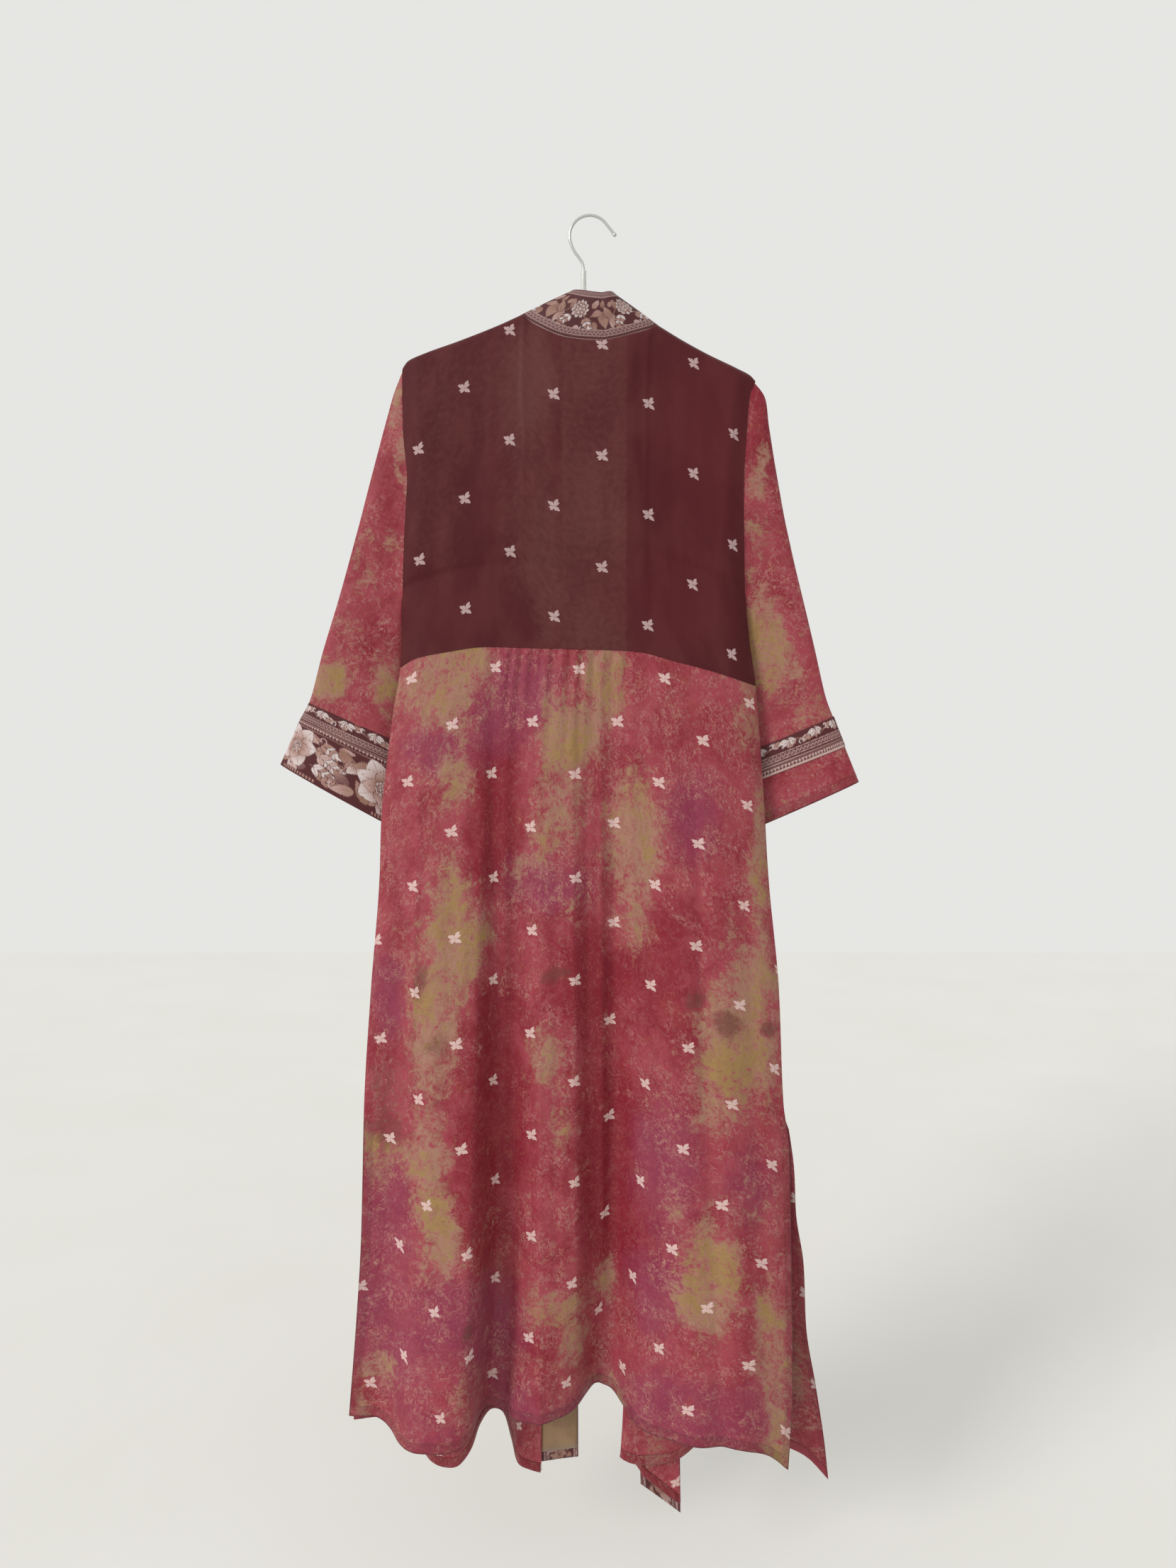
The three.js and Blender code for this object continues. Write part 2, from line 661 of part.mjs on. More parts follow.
const frontLeftGrid = frontGrid({
  side: -1,
  band: bandLeft,
  hemRows: FRONT_LEFT_HEM,
  folds: [5, 12],
  topShare: (u) => u,
  shoulder: shoulderLeft,
  tipX: -220,
  edge: sideLeft,
  slitEdge: (z) => sideLeft(z) + 3 * smoothstep(SLIT_TOP_Z - z, 0, 300),
});
const frontRightGrid = frontGrid({
  side: 1,
  band: bandRight,
  hemRows: FRONT_RIGHT_HEM,
  folds: [9, 13],
  topShare: rightTopShare,
  shoulder: shoulderRight,
  tipX: 195,
  edge: sideRight,
  slitEdge: frontSlitRight,
});

// ---- sleeves and cuffs --------------------------------------------------------------------
const AROUND = 20;

// A flattened tube: rings between the top fold and the underarm fold, the first along the armhole.
function sleeve(rows, armholeEdge) {
  const last = rows.length - 1;
  const top = curveOf(rows.map((r) => vector(r.ax, r.ay, r.az)));
  const under = curveOf(rows.map((r) => vector(r.bx, r.by, r.bz)));
  const half = reader(rows.map((r, row) => ({ row, half: r.half })), "row", "half");
  return (row, angle) => {
    const across = (1 - Math.cos(angle)) / 2;
    const start = top.getPoint(0).lerp(under.getPoint(0), across);
    const p = top.getPoint(row / last).lerp(under.getPoint(row / last), across);
    p.x += (armholeEdge(start.z) - start.x) * (1 - row / last) ** 8;
    p.y -= half(row) * flatRound(Math.sin(angle));
    return p;
  };
}

// Rings of a sleeve at some of its rows, moved out from it.
function ringsOf(tube, rows, out = 0) {
  const angles = Array.from({ length: AROUND }, (_, k) => (2 * Math.PI * k) / AROUND);
  const grid = angles.map((angle) => rows.map((row) => tube(row, angle)));
  if (out === 0) return grid;
  const normals = normalsOf(grid, true);
  return grid.map((line, i) => line.map((p, j) => p.clone().addScaledVector(normals[i][j], out)));
}

// ---- the hanger ---------------------------------------------------------------------------
const wasm = await Module();
wasm.setup();

function solidOf(geometry) {
  const bare = new THREE.BufferGeometry();
  bare.setAttribute("position", geometry.getAttribute("position"));
  if (geometry.index) bare.setIndex(geometry.index);
  const merged = mergeVertices(bare, 1e-4);
  return new wasm.Manifold(
    new wasm.Mesh({
      numProp: 3,
      vertProperties: new Float32Array(merged.attributes.position.array),
      triVerts: new Uint32Array(merged.index.array),
    }),
  );
}

function geometryFrom(solid) {
  const mesh = solid.getMesh();
  const geometry = new THREE.BufferGeometry();
  geometry.setAttribute("position", new THREE.BufferAttribute(mesh.vertProperties, 3));
  geometry.setIndex(new THREE.BufferAttribute(mesh.triVerts, 1));
  return geometry;
}

function hookGeometry() {
  const centreZ = WIRE / 2 - HOOK_RADIUS;
  const crook = steps(16).map((t) => {
    const angle = THREE.MathUtils.degToRad(lerp(...CROOK, t));
    return [HOOK_RADIUS * Math.cos(angle), centreZ + HOOK_RADIUS * Math.sin(angle)];
  });
  const path = curveOf([HOOK_TIP, ...HOOK_LEAD, ...crook, ...HOOK_STEM].map(([x, z]) => vector(x, 0, z)));
  const section = new THREE.Shape().absarc(0, 0, WIRE / 2, 0, 2 * Math.PI);
  const wire = new THREE.ExtrudeGeometry(section, { steps: 48, curveSegments: 5, extrudePath: path });
  const ball = new THREE.SphereGeometry(BALL_RADIUS, 12, 8);
  ball.translate(HOOK_TIP[0] + 0.6, 0, HOOK_TIP[1] - 0.8);
  return geometryFrom(solidOf(wire).add(solidOf(ball)));
}

// A flat hanger cut along the shoulder seams, with a neck that the hook's stem goes down into.
function hangerGeometry() {
  const arm = (line, part) =>
    steps(part.steps).map((t) => {
      const x = lerp(part.from, part.to, t);
      return [x, line(x) - ARM_CLEARANCE];
    });
  const left = [...arm(shoulderLeft, ARM_LEFT), ...HANGER_LEFT];
  const right = [...HANGER_RIGHT, ...arm(shoulderRight, ARM_RIGHT)];
  const [neckLeft, neckRight] = [STEM_X - NECK_WIDTH / 2, STEM_X + NECK_WIDTH / 2];
  const neck = [
    [neckLeft - NECK_FLARE, NECK_FOOT_Z],
    [neckLeft, NECK_FOOT_Z + 5],
    [neckLeft, NECK_TOP_Z],
    [neckRight, NECK_TOP_Z],
    [neckRight, NECK_FOOT_Z + 5],
    [neckRight + NECK_FLARE, NECK_FOOT_Z],
  ];
  const below = ([x, z]) => {
    const fromEnd = Math.min(x - ARM_ENDS_X[0], ARM_ENDS_X[1] - x);
    return [x, z - ARM_HEIGHT * smoothstep(fromEnd, 0, ARM_TAPER)];
  };
  const lower = [...left, ...right].map(below);
  const points = [...left, ...neck, ...right, ...lower.toReversed()];
  const outline = new THREE.Shape(points.map(([x, z]) => new THREE.Vector2(x, z)));
  const flat = new THREE.ExtrudeGeometry(outline, {
    depth: HANGER_DEPTH - 2 * HANGER_EDGE,
    bevelThickness: HANGER_EDGE,
    bevelSize: HANGER_EDGE,
    bevelOffset: -HANGER_EDGE,
    bevelSegments: 2,
  });
  flat.translate(0, 0, HANGER_EDGE - HANGER_DEPTH / 2).rotateX(Math.PI / 2);
  const boreRadius = WIRE / 2 + SEAM_GAP;
  const bore = new THREE.CylinderGeometry(boreRadius, boreRadius, BORE_LENGTH, 16);
  bore.rotateX(Math.PI / 2).translate(STEM_X, 0, STEM_END_Z - SEAM_GAP + BORE_LENGTH / 2);
  return geometryFrom(solidOf(flat).subtract(solidOf(bore)));
}

// ---- the scene ----------------------------------------------------------------------------
const material = (color, roughness, metalness = 0, more = {}) =>
  new THREE.MeshStandardMaterial({ color, roughness, metalness, ...more });
const YOKE_SILK = material(0x55282c, 0.62);
const DYED_SILK = material(0x9c4551, 0.58);
const BROCADE = material(0x6b3b38, 0.55);
const FACING_SILK = material(0x8a7052, 0.65);
const STEEL = material(0xb9bab8, 0.28, 1);
const PLASTIC = material(0xdcdedb, 0.2, 0, { transparent: true, opacity: 0.6 });

const garment = new THREE.Group();
const hanger = new THREE.Group();
const root = new THREE.Group();
root.add(garment, hanger);

function add(group, name, geometry, finish) {
  const mesh = new THREE.Mesh(geometry, finish);
  mesh.name = name;
  group.add(mesh);
}

add(garment, "back_yoke", wall(yokeGrid(), CLOTH_WALL), YOKE_SILK);
add(garment, "back_skirt", wall(skirtGrid(), CLOTH_WALL), DYED_SILK);
add(garment, "front_left", wall(frontLeftGrid, CLOTH_WALL), DYED_SILK);
add(garment, "front_right", wall(frontRightGrid, CLOTH_WALL), DYED_SILK);
const sleeveLeft = sleeve(SLEEVE_LEFT, (z) => sideLeft(z) - ARMHOLE_GAP);
const sleeveRight = sleeve(SLEEVE_RIGHT, (z) => sideRight(z) + ARMHOLE_GAP);
const [trimTop, trimFoot] = TRIM_ROWS_RIGHT;
const cuffRowRight = (trimTop + trimFoot) / 2;
const onSleeve = (CLOTH_WALL + TRIM_WALL) / 2 + SEAM_GAP;
const tube = (name, grid, thickness, finish) => add(garment, name, wall(grid, thickness, true), finish);
const nearBody = [0, 0.25, 0.6, 1, 2, 3, 4, 5, 6];
tube("sleeve_left", ringsOf(sleeveLeft, [...nearBody, CUFF_ROW_LEFT - ROW_GAP]), CLOTH_WALL, DYED_SILK);
tube("cuff_left", ringsOf(sleeveLeft, [CUFF_ROW_LEFT, 8, 9, 10]), CLOTH_WALL, BROCADE);
const toTrim = [...nearBody, 7, 8, cuffRowRight - ROW_GAP];
tube("sleeve_right", ringsOf(sleeveRight, toTrim), CLOTH_WALL, DYED_SILK);
tube("cuff_right", ringsOf(sleeveRight, [cuffRowRight, 9, 10]), CLOTH_WALL, DYED_SILK);
tube("trim_right", ringsOf(sleeveRight, [trimTop, cuffRowRight, trimFoot], onSleeve), TRIM_WALL, BROCADE);
add(garment, "collar_left", wall(bandGrid(bandLeft, COLLAR_ROWS), BAND_WALL), BROCADE);
add(garment, "collar_right", wall(bandGrid(bandRight, COLLAR_ROWS), BAND_WALL), BROCADE);
add(garment, "band_left", wall(bandGrid(bandLeft, FRONT_BAND_ROWS), BAND_WALL), BROCADE);
add(garment, "band_right", wall(bandGrid(bandRight, FRONT_BAND_ROWS), BAND_WALL), BROCADE);
add(garment, "facing_left", wall(facingGrid(bandLeft), FACING_WALL), FACING_SILK);
add(garment, "facing_right", wall(facingGrid(bandRight), FACING_WALL), DYED_SILK);
add(hanger, "hanger_hook", hookGeometry(), STEEL);
add(hanger, "hanger_body", hangerGeometry(), PLASTIC);

export default root;
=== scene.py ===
"""A long open robe of dyed sari silk, hanging from a plain hanger, built around its CAD frame.

Lengths in the tables are millimetres, and every mesh is made in metres. The back faces -Y.
"""

import math
from types import SimpleNamespace

import bpy
import numpy as np
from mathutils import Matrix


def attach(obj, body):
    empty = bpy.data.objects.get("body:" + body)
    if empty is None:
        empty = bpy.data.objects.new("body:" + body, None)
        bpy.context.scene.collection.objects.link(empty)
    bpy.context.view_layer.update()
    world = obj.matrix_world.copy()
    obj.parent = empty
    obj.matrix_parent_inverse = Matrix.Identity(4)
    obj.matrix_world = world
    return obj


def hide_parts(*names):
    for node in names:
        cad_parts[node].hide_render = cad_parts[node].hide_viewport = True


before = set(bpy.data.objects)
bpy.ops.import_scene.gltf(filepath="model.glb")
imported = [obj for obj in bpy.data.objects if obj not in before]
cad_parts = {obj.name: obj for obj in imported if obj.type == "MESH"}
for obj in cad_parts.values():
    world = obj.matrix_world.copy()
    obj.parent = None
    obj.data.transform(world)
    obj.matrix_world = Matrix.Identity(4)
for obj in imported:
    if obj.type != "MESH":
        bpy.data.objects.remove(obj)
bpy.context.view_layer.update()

MM = 0.001
TAU = 2 * math.pi

# ---- sizes, the same as the CAD frame's but for the tuck ------------------------------------
RIDGE_HALF_GAP = 0.8
SIDE_HALF_GAP = 0.75
UNDERARM_Z = -430
SLIT_TOP_Z = -1078
ARMHOLE_HALF_DEPTH = 9
ROUNDNESS = 0.85
BACK_DEPTH = 18
SIDE_ROUNDING = 18
FACING_Z = -262
FACING_INSET = 1.5
TURN_UP = 13
FRONT_INSET = 3.2
NECK_OVERLAP = 3

SHOULDER_LEFT = [
    (-220, -173.5), (-214, -165.5), (-197, -157.5), (-152, -141.5), (-108, -124.5), (-81.5, -112.8),
]
SHOULDER_RIGHT = [(81, -124.8), (109, -141.5), (139, -157.5), (173, -173.5), (189, -182), (195, -188.5)]
SIDE_LEFT = [
    (-1449, -299), (-1320, -288), (-1229, -282), (-1053, -276), (-913, -266), (-776, -254), (-704, -251),
    (-625, -242), (-568, -234), (-521, -226), (-447, -223), (-341, -217), (-301, -214.5), (-246, -219),
    (-173.5, -220),
]
SIDE_RIGHT = [
    (-1506, 244), (-1405, 249), (-1189, 247), (-1113, 245), (-1053, 237), (-913, 230), (-776, 216),
    (-674, 209), (-543, 198), (-489, 190), (-406, 183), (-309, 181), (-230, 185), (-203, 188), (-188.5, 195),
]
FRONT_SLIT_RIGHT = [
    (-1549, 303), (-1504, 298), (-1424, 285), (-1344, 271), (-1262, 266), (-1194, 255), (-1141, 252),
    (-1078, 243),
]
YOKE_SEAM = [
    (-226, -521), (-207, -511), (-172, -504), (-122, -497.5), (-60, -499), (44, -502), (65, -504.5),
    (99, -514), (141, -525), (198, -543),
]
BACK_HEM = [
    (-299, -5, -1449), (-265, -10, -1449), (-243, -22, -1457), (-223, -42, -1468), (-192, -56, -1466),
    (-163, -55, -1462), (-144, -40, -1452), (-138, -16, -1444), (-126, 8, -1445), (-109, 10, -1450),
    (-94, -16, -1447), (-74, -33, -1442), (-50, -34, -1440), (-25, -18, -1437), (-4, 8, -1428),
    (10, 20, -1421), (24, 16, -1423), (40, -4, -1434), (57, -24, -1446), (82, -38, -1455),
    (125, -46, -1461), (168, -46, -1464), (212, -36, -1479), (244, -24, -1506),
]
FRONT_LEFT_HEM = [
    (-296, 9, -1463), (-262, 24, -1470), (-228, 32, -1496), (-202, 26, -1529), (-186, 22, -1534),
    (-168, 22, -1533), (-152, 32, -1518), (-141, 52, -1495), (-128, 66, -1485), (-114, 64, -1487),
    (-101, 44, -1510), (-91, 30, -1535), (-76, 27, -1541), (-62.5, 27.1, -1545),
]
FRONT_RIGHT_HEM = [
    (303, 20, -1549), (276, 24, -1522), (248, 34, -1513), (215, 46, -1502), (180, 34, -1497),
    (152, 38, -1500), (134, 22, -1506), (110, 11, -1517), (80, 8, -1521), (56, 7, -1520), (42, 7, -1514),
    (38, 12, -1513), (42, 17, -1515), (57, 19, -1527), (70, 20, -1546), (92, 21, -1565), (115, 20.8, -1583),
]
FOLD_ROW = 5
COLLAR_END = 8
BAND_LEFT = [
    (14, -11, -89.8, 17, -14.5, -146), (2, -11, -88.6, -12, -14.5, -144.6), (-7, -10, -87, -36, -14, -140),
    (-14, -7.5, -85.6, -61, -11, -128), (-18.5, -4, -84.6, -76, -6, -118), (-20, 0, -84.2, -81, 0, -112.2),
    (-20.5, 4, -85.5, -83, 6, -118), (-21, 8, -92, -85, 9.5, -128), (-22, 10.8, -120, -86, 13, -150),
    (-23.5, 13.5, -170, -86, 16, -185), (-25, 16, -262, -84.5, 18, -262), (-24, 20, -480, -81.5, 21, -480),
    (-21, 23, -700, -77, 24, -700), (-18, 26, -930, -72, 26, -930), (-17, 28, -1150, -68, 28, -1150),
    (-15, 30, -1350, -64, 29.5, -1350), (-14.5, 31, -1526, -61.5, 30, -1532),
]
BAND_RIGHT = [
    (14, -11, -89.8, 17, -14.5, -146), (20, -11, -88.8, 34, -14.2, -142.6), (23.5, -9, -87.9, 50, -13, -138),
    (26, -6, -87.3, 66, -9.5, -132.5), (27.3, -3, -87, 76, -5, -128), (27.5, 0, -87, 80.5, 0, -124.2),
    (28, 4, -88, 83, 6, -130), (28.5, 8, -95, 84, 9.5, -140), (29, 10.8, -122, 84.5, 13, -160),
    (29.5, 13.5, -172, 85, 16, -195), (31, 16, -262, 86, 18, -262), (36, 19, -480, 91, 20, -480),
    (41, 21, -700, 96, 21.5, -700), (47, 22.5, -930, 102, 22.5, -930), (53, 23.5, -1150, 107, 23.5, -1150),
    (59, 24, -1350, 112, 24, -1360), (65, 24.5, -1558, 116, 24, -1596),
]
SLEEVE_LEFT = [
    (-221, 0, -174.5, -224.2, 0, -430, 9.4), (-230.5, 1, -200, -228, 5.5, -443, 10),
    (-241, 2, -236, -229, 9.5, -458, 10.5), (-260, 4, -303, -226, 15, -483, 11),
    (-279, 6, -370, -221, 20, -515, 11), (-299, 8, -437, -217, 25, -550, 11),
    (-321, 10, -505, -213, 29, -587, 11), (-339, 12, -566, -211, 32, -623, 11),
    (-350, 13, -586, -216, 33, -650, 11.5), (-362, 14, -612, -223, 34, -687, 12),
    (-375, 15, -640, -230, 35, -725, 13),
]
SLEEVE_RIGHT = [
    (196, 0, -189.5, 186, 0, -430, 9.4), (207, 1, -206, 190, 5.5, -443, 10),
    (212, 2, -240, 191, 9.5, -458, 10.5), (223, 4, -303, 189, 15, -483, 11),
    (237, 6, -370, 184, 20, -516, 11), (254, 8, -437, 178, 25, -552, 11),
    (271, 10, -503, 171, 29, -590, 11), (285, 12, -559, 165, 32, -618, 11),
    (294, 12.5, -582, 166, 33, -637, 11.5), (309, 14, -618, 170, 34, -674, 12),
    (327, 15, -661, 176, 35, -731, 13),
]
# How far each sleeve's rows below the armhole are pushed under the side seam, for scene.py alone.
UNDERARM_TUCK = (3.4, 3.8, 1.6)
CUFF_ROW_LEFT = 7
TRIM_ROWS_RIGHT = (8, 9)
YOKE_FOLDS = [(-150, 34, 2.5), (-75, 30, -2), (-10, 36, 2), (70, 30, -2), (135, 34, 3)]
GATHER = {"from": -128, "to": 56, "waves": 11, "depth": 2.2, "fade": 70}
ROLL = {"depth": 5.8, "height": 3, "fade": 80}


# ---- curves and surfaces --------------------------------------------------------------------
def reader(rows, column=1):
    """A smooth function through a table's rows that never overshoots them."""
    rows = np.asarray(rows, float)
    k, y = rows[:, 0], rows[:, column]
    slope = np.diff(y) / np.diff(k)
    a, b = slope[:-1], slope[1:]
    total = np.where(a * b > 0, a + b, 1)
    tangent = np.concatenate([slope[:1], np.where(a * b > 0, 2 * a * b / total, 0), slope[-1:]])

    def at(x):
        x = np.asarray(x, float)
        i = np.clip(np.searchsorted(k, x) - 1, 0, len(k) - 2)
        span = k[i + 1] - k[i]
        t = np.clip((x - k[i]) / span, 0, 1)
        w = 1 - t
        ends = y[i] * (1 + 2 * t) * w * w + y[i + 1] * (1 + 2 * w) * t * t
        return ends + span * (tangent[i] * t * w * w - tangent[i + 1] * t * t * w)

    return at


def curve(points):
    """A centripetal Catmull-Rom curve; its parameter runs from 0 to 1 by rows."""
    chord = lambda x, y: np.linalg.norm(y - x, axis=-1, keepdims=True) ** 0.5
    p = np.asarray(points, float)
    ends = np.vstack([2 * p[0] - p[1], p, 2 * p[-1] - p[-2]])

    def at(t):
        t = np.clip(np.asarray(t, float), 0, 1) * (len(p) - 1)
        i = np.minimum(t.astype(int), len(p) - 2)
        w = (t - i)[..., None]
        a, b, c, d = (ends[i + k] for k in range(4))
        ab, bc, cd = chord(a, b), chord(b, c), chord(c, d)
        m = ((b - a) / ab - (c - a) / (ab + bc) + (c - b) / bc) * bc
        n = ((c - b) / bc - (d - b) / (bc + cd) + (d - c) / cd) * bc
        return b + w * (m + w * (3 * (c - b) - 2 * m - n + w * (2 * (b - c) + m + n)))

    return at


def even(path, count=200):
    """The same curve with its parameter running by length."""
    t = np.linspace(0, 1, count + 1)
    run = lengths(path(t), 0)
    return lambda u: path(np.interp(u, run / run[-1], t))


def smooth(x, low, high):
    """0 at low, 1 at high, and eased between them."""
    t = np.clip((np.asarray(x, float) - low) / (high - low), 0, 1)
    return t * t * (3 - 2 * t)


def mix(a, b, t):
    """From a at 0 to b at 1."""
    return a + (b - a) * t


def patch(u, v, top, hem, left, right):
    """A grid between four edges given as points: top and hem across, left and right down."""
    u, v = u[:, None, None], v[None, :, None]
    grid = top[:, None] * (1 - v) + hem[:, None] * v + left[None] * (1 - u) + right[None] * u
    grid -= top[0] * (1 - u) * (1 - v) + top[-1] * u * (1 - v)
    return grid - hem[0] * (1 - u) * v - hem[-1] * u * v


def points(x, y, z):
    """Points from their coordinates, each a number or an array."""
    return np.stack(np.broadcast_arrays(x, y, z), axis=-1).astype(float)


def normals(grid):
    """The unit normals of a grid of points."""
    across, down = np.gradient(grid, axis=0), np.gradient(grid, axis=1)
    n = np.cross(across, down)
    return n / np.maximum(np.linalg.norm(n, axis=-1, keepdims=True), 1e-12)


def lengths(grid, axis):
    """Distance along a grid's lines from their start."""
    step = np.linalg.norm(np.diff(grid, axis=axis), axis=-1)
    first = np.zeros_like(np.take(step, [0], axis=axis))
    return np.cumsum(np.concatenate([first, step], axis=axis), axis=axis)


def noise(x, y, scale, seed):
    """Smooth seeded noise, about -1 to 1, whose bumps are scale across."""
    table = np.random.default_rng(seed).uniform(-1, 1, (64, 64))
    x, y = np.asarray(x, float) / scale, np.asarray(y, float) / scale
    i, j = np.floor(x).astype(int), np.floor(y).astype(int)
    a, b = smooth(x - i, 0, 1), smooth(y - j, 0, 1)
    near = mix(table[i % 64, j % 64], table[(i + 1) % 64, j % 64], a)
    far = mix(table[i % 64, (j + 1) % 64], table[(i + 1) % 64, (j + 1) % 64], a)
    return mix(near, far, b)


def shares(ends, middle):
    """Parameters from 0 to 1: close together at both ends, even in the middle."""
    even_part = np.linspace(ends[-1], 1 - ends[-1], middle)[1:-1]
    return np.concatenate([ends, even_part, 1 - np.asarray(ends)[::-1]])


side_left, side_right = reader(SIDE_LEFT), reader(SIDE_RIGHT)
front_slit_right = reader(FRONT_SLIT_RIGHT)
shoulder_left, shoulder_right = reader(SHOULDER_LEFT), reader(SHOULDER_RIGHT)
yoke_seam = reader(YOKE_SEAM)
SEAM_LEFT, SEAM_RIGHT = YOKE_SEAM[0][0], YOKE_SEAM[-1][0]


def stand_off(x, left, right, depth):
    """How far the cloth stands from the middle plane: its depth, rounded off at both sides."""
    from_side = np.maximum(0, np.minimum(x - left, right - x))
    return SIDE_HALF_GAP + (depth - SIDE_HALF_GAP) * (1 - np.exp(-from_side / SIDE_ROUNDING))


def flat_round(sine):
    """A sine whose rounds are a little flattened."""
    return np.sign(sine) * np.abs(sine) ** ROUNDNESS


def armhole_half(z, tip_z):
    """Half the armhole's opening at a height, below a shoulder tip."""
    t = np.clip((z - tip_z) / (UNDERARM_Z - tip_z), 0, 1)
    return SIDE_HALF_GAP + ARMHOLE_HALF_DEPTH * flat_round(np.sqrt(np.maximum(0, 1 - (2 * t - 1) ** 2)))


def band_edges(rows):
    """The band's free edge and sewn edge, as a function of its row."""
    rows = np.asarray(rows, float)
    free, sewn, last = curve(rows[:, :3]), curve(rows[:, 3:]), len(rows) - 1
    return lambda row: (free(np.asarray(row, float) / last), sewn(np.asarray(row, float) / last))


band_left, band_right = band_edges(BAND_LEFT), band_edges(BAND_RIGHT)


def seam_line(u):
    """The waist seam, across the back from left to right."""
    x = mix(SEAM_LEFT, SEAM_RIGHT, u)
    return points(x, -stand_off(x, SEAM_LEFT, SEAM_RIGHT, BACK_DEPTH), yoke_seam(x))


# ---- the back -------------------------------------------------------------------------------
# Columns and rows of points, closer together where the cloth turns in at its edges.
YOKE_COLUMNS_X = np.concatenate([
    [-220, -219.5, -218.5, -217],
    np.linspace(-215, 190, 176),
    [191.5, 193, 194.4, 195],
])
YOKE_ROWS = np.concatenate([
    [0, 0.6, 1.3, 2.2, 3.3, 4.7, 6.5, 9, 12.5],
    np.linspace(17, 342, 82),
    [344.6, 346.4, 347.4, 348],
])
SKIRT_ROWS = np.concatenate([
    [-7, -4, -2, -0.8],
    np.linspace(0.5, 60, 26),
    np.linspace(64, 925, 150)[:-1],
    [925, 928, 931, 935, 939, 941],
])
FRONT_ROWS = np.concatenate([
    [0, 0.0005, 0.001, 0.0018, 0.003, 0.005, 0.008, 0.013],
    np.linspace(0.02, 0.982, 112),
    [0.9855, 0.989, 0.993, 0.997, 1],
])
YOKE_UNDER_SKIRT = (0, -0.9, -2.2)
SHOULDER_CREASE_Z = -211


def yoke_grid():
    """The upper back, tucked under the neck band and over the skirt's top."""
    def neck(band, row):
        free, sewn = band(row)
        out = (sewn - free) / np.linalg.norm(sewn - free, axis=-1, keepdims=True)
        edge = sewn - NECK_OVERLAP * out
        edge[:, 1] = np.minimum(edge[:, 1] + 1.5, 0)
        return edge

    shoulder = lambda line, a, b: points(np.linspace(a, b, 60), 0, line(np.linspace(a, b, 60)) + 0.3)
    half = np.linspace(0, FOLD_ROW, 60)
    line = np.vstack([
        shoulder(shoulder_left, -220, -82),
        neck(band_left, half[::-1]),
        neck(band_right, half[1:]),
        shoulder(shoulder_right, 81, 195),
    ])
    keep = np.concatenate([[True], np.diff(np.maximum.accumulate(line[:, 0])) > 1e-3])
    line = line[keep]
    x = YOKE_COLUMNS_X
    u = (x - x[0]) / (x[-1] - x[0])
    top = points(x, np.interp(x, line[:, 0], line[:, 1]), np.interp(x, line[:, 0], line[:, 2]))
    v = YOKE_ROWS / YOKE_ROWS[-1]
    seam = seam_line(u) + YOKE_UNDER_SKIRT
    tips = top[0, 2], top[-1, 2]

    def side(edge, tip, end):
        z = mix(tip, end[2], v)
        return points(edge(z), -armhole_half(z, tip) * smooth(v, 0, 0.012), z)

    left, right = side(side_left, tips[0], seam[0]), side(side_right, tips[1], seam[-1])
    left[0], right[0], left[-1], right[-1] = top[0], top[-1], seam[0], seam[-1]
    grid = patch(u, v, top, seam, left, right)
    fall = v[None, :] * (top[:, 2] - seam[:, 2])[:, None]
    on_arm = (smooth(top[:, 1], -9, -RIDGE_HALF_GAP) * smooth(np.minimum(u, 1 - u), 0, 0.05))[:, None]
    grid[..., 1] -= ROLL["depth"] * on_arm * (1 - np.exp(-fall / ROLL["height"])) * (1 - v)
    for at, width, depth in YOKE_FOLDS:
        grid[..., 1] += depth * np.exp(-(((grid[..., 0] - at) / width) ** 2)) * np.sin(math.pi * v) ** 2
    x, z = grid[..., 0], grid[..., 2]
    body = np.sin(math.pi * v) ** 0.5 * smooth(np.minimum(u, 1 - u), 0, 0.03)[:, None]
    for at, lean, width, depth in YOKE_CREASES:
        near = (x - at - lean * (z + 350)) / width
        grid[..., 1] += depth * np.exp(-near**2) * np.sin(math.pi * v)
    crease = np.exp(-(((z - SHOULDER_CREASE_Z + 0.03 * (x + 20)) / 2.6) ** 2))
    grid[..., 1] -= 0.55 * crease * smooth(x, -205, -170) * (1 - smooth(x, 120, 165))
    grid[..., 1] += body * (1.1 * noise(x, z * 0.35, 46, 3) + 0.35 * noise(x, z * 0.5, 15, 4))
    edge = np.minimum(fall[:, -1:] - fall, 40)
    return grid, u, edge


# Vertical creases of the upper back: place, lean, width and depth.
YOKE_CREASES = [
    (-118, 0.02, 5, -0.8), (-52, -0.03, 7, 0.9), (-28, 0.0, 9, -0.9), (24, 0.01, 8, 0.8),
    (58, -0.05, 6, -1.0), (96, -0.02, 8, 0.8), (158, 0.05, 7, -1.0), (-178, 0.02, 8, 0.9),
    (-90, 0.03, 5, 0.6),
]

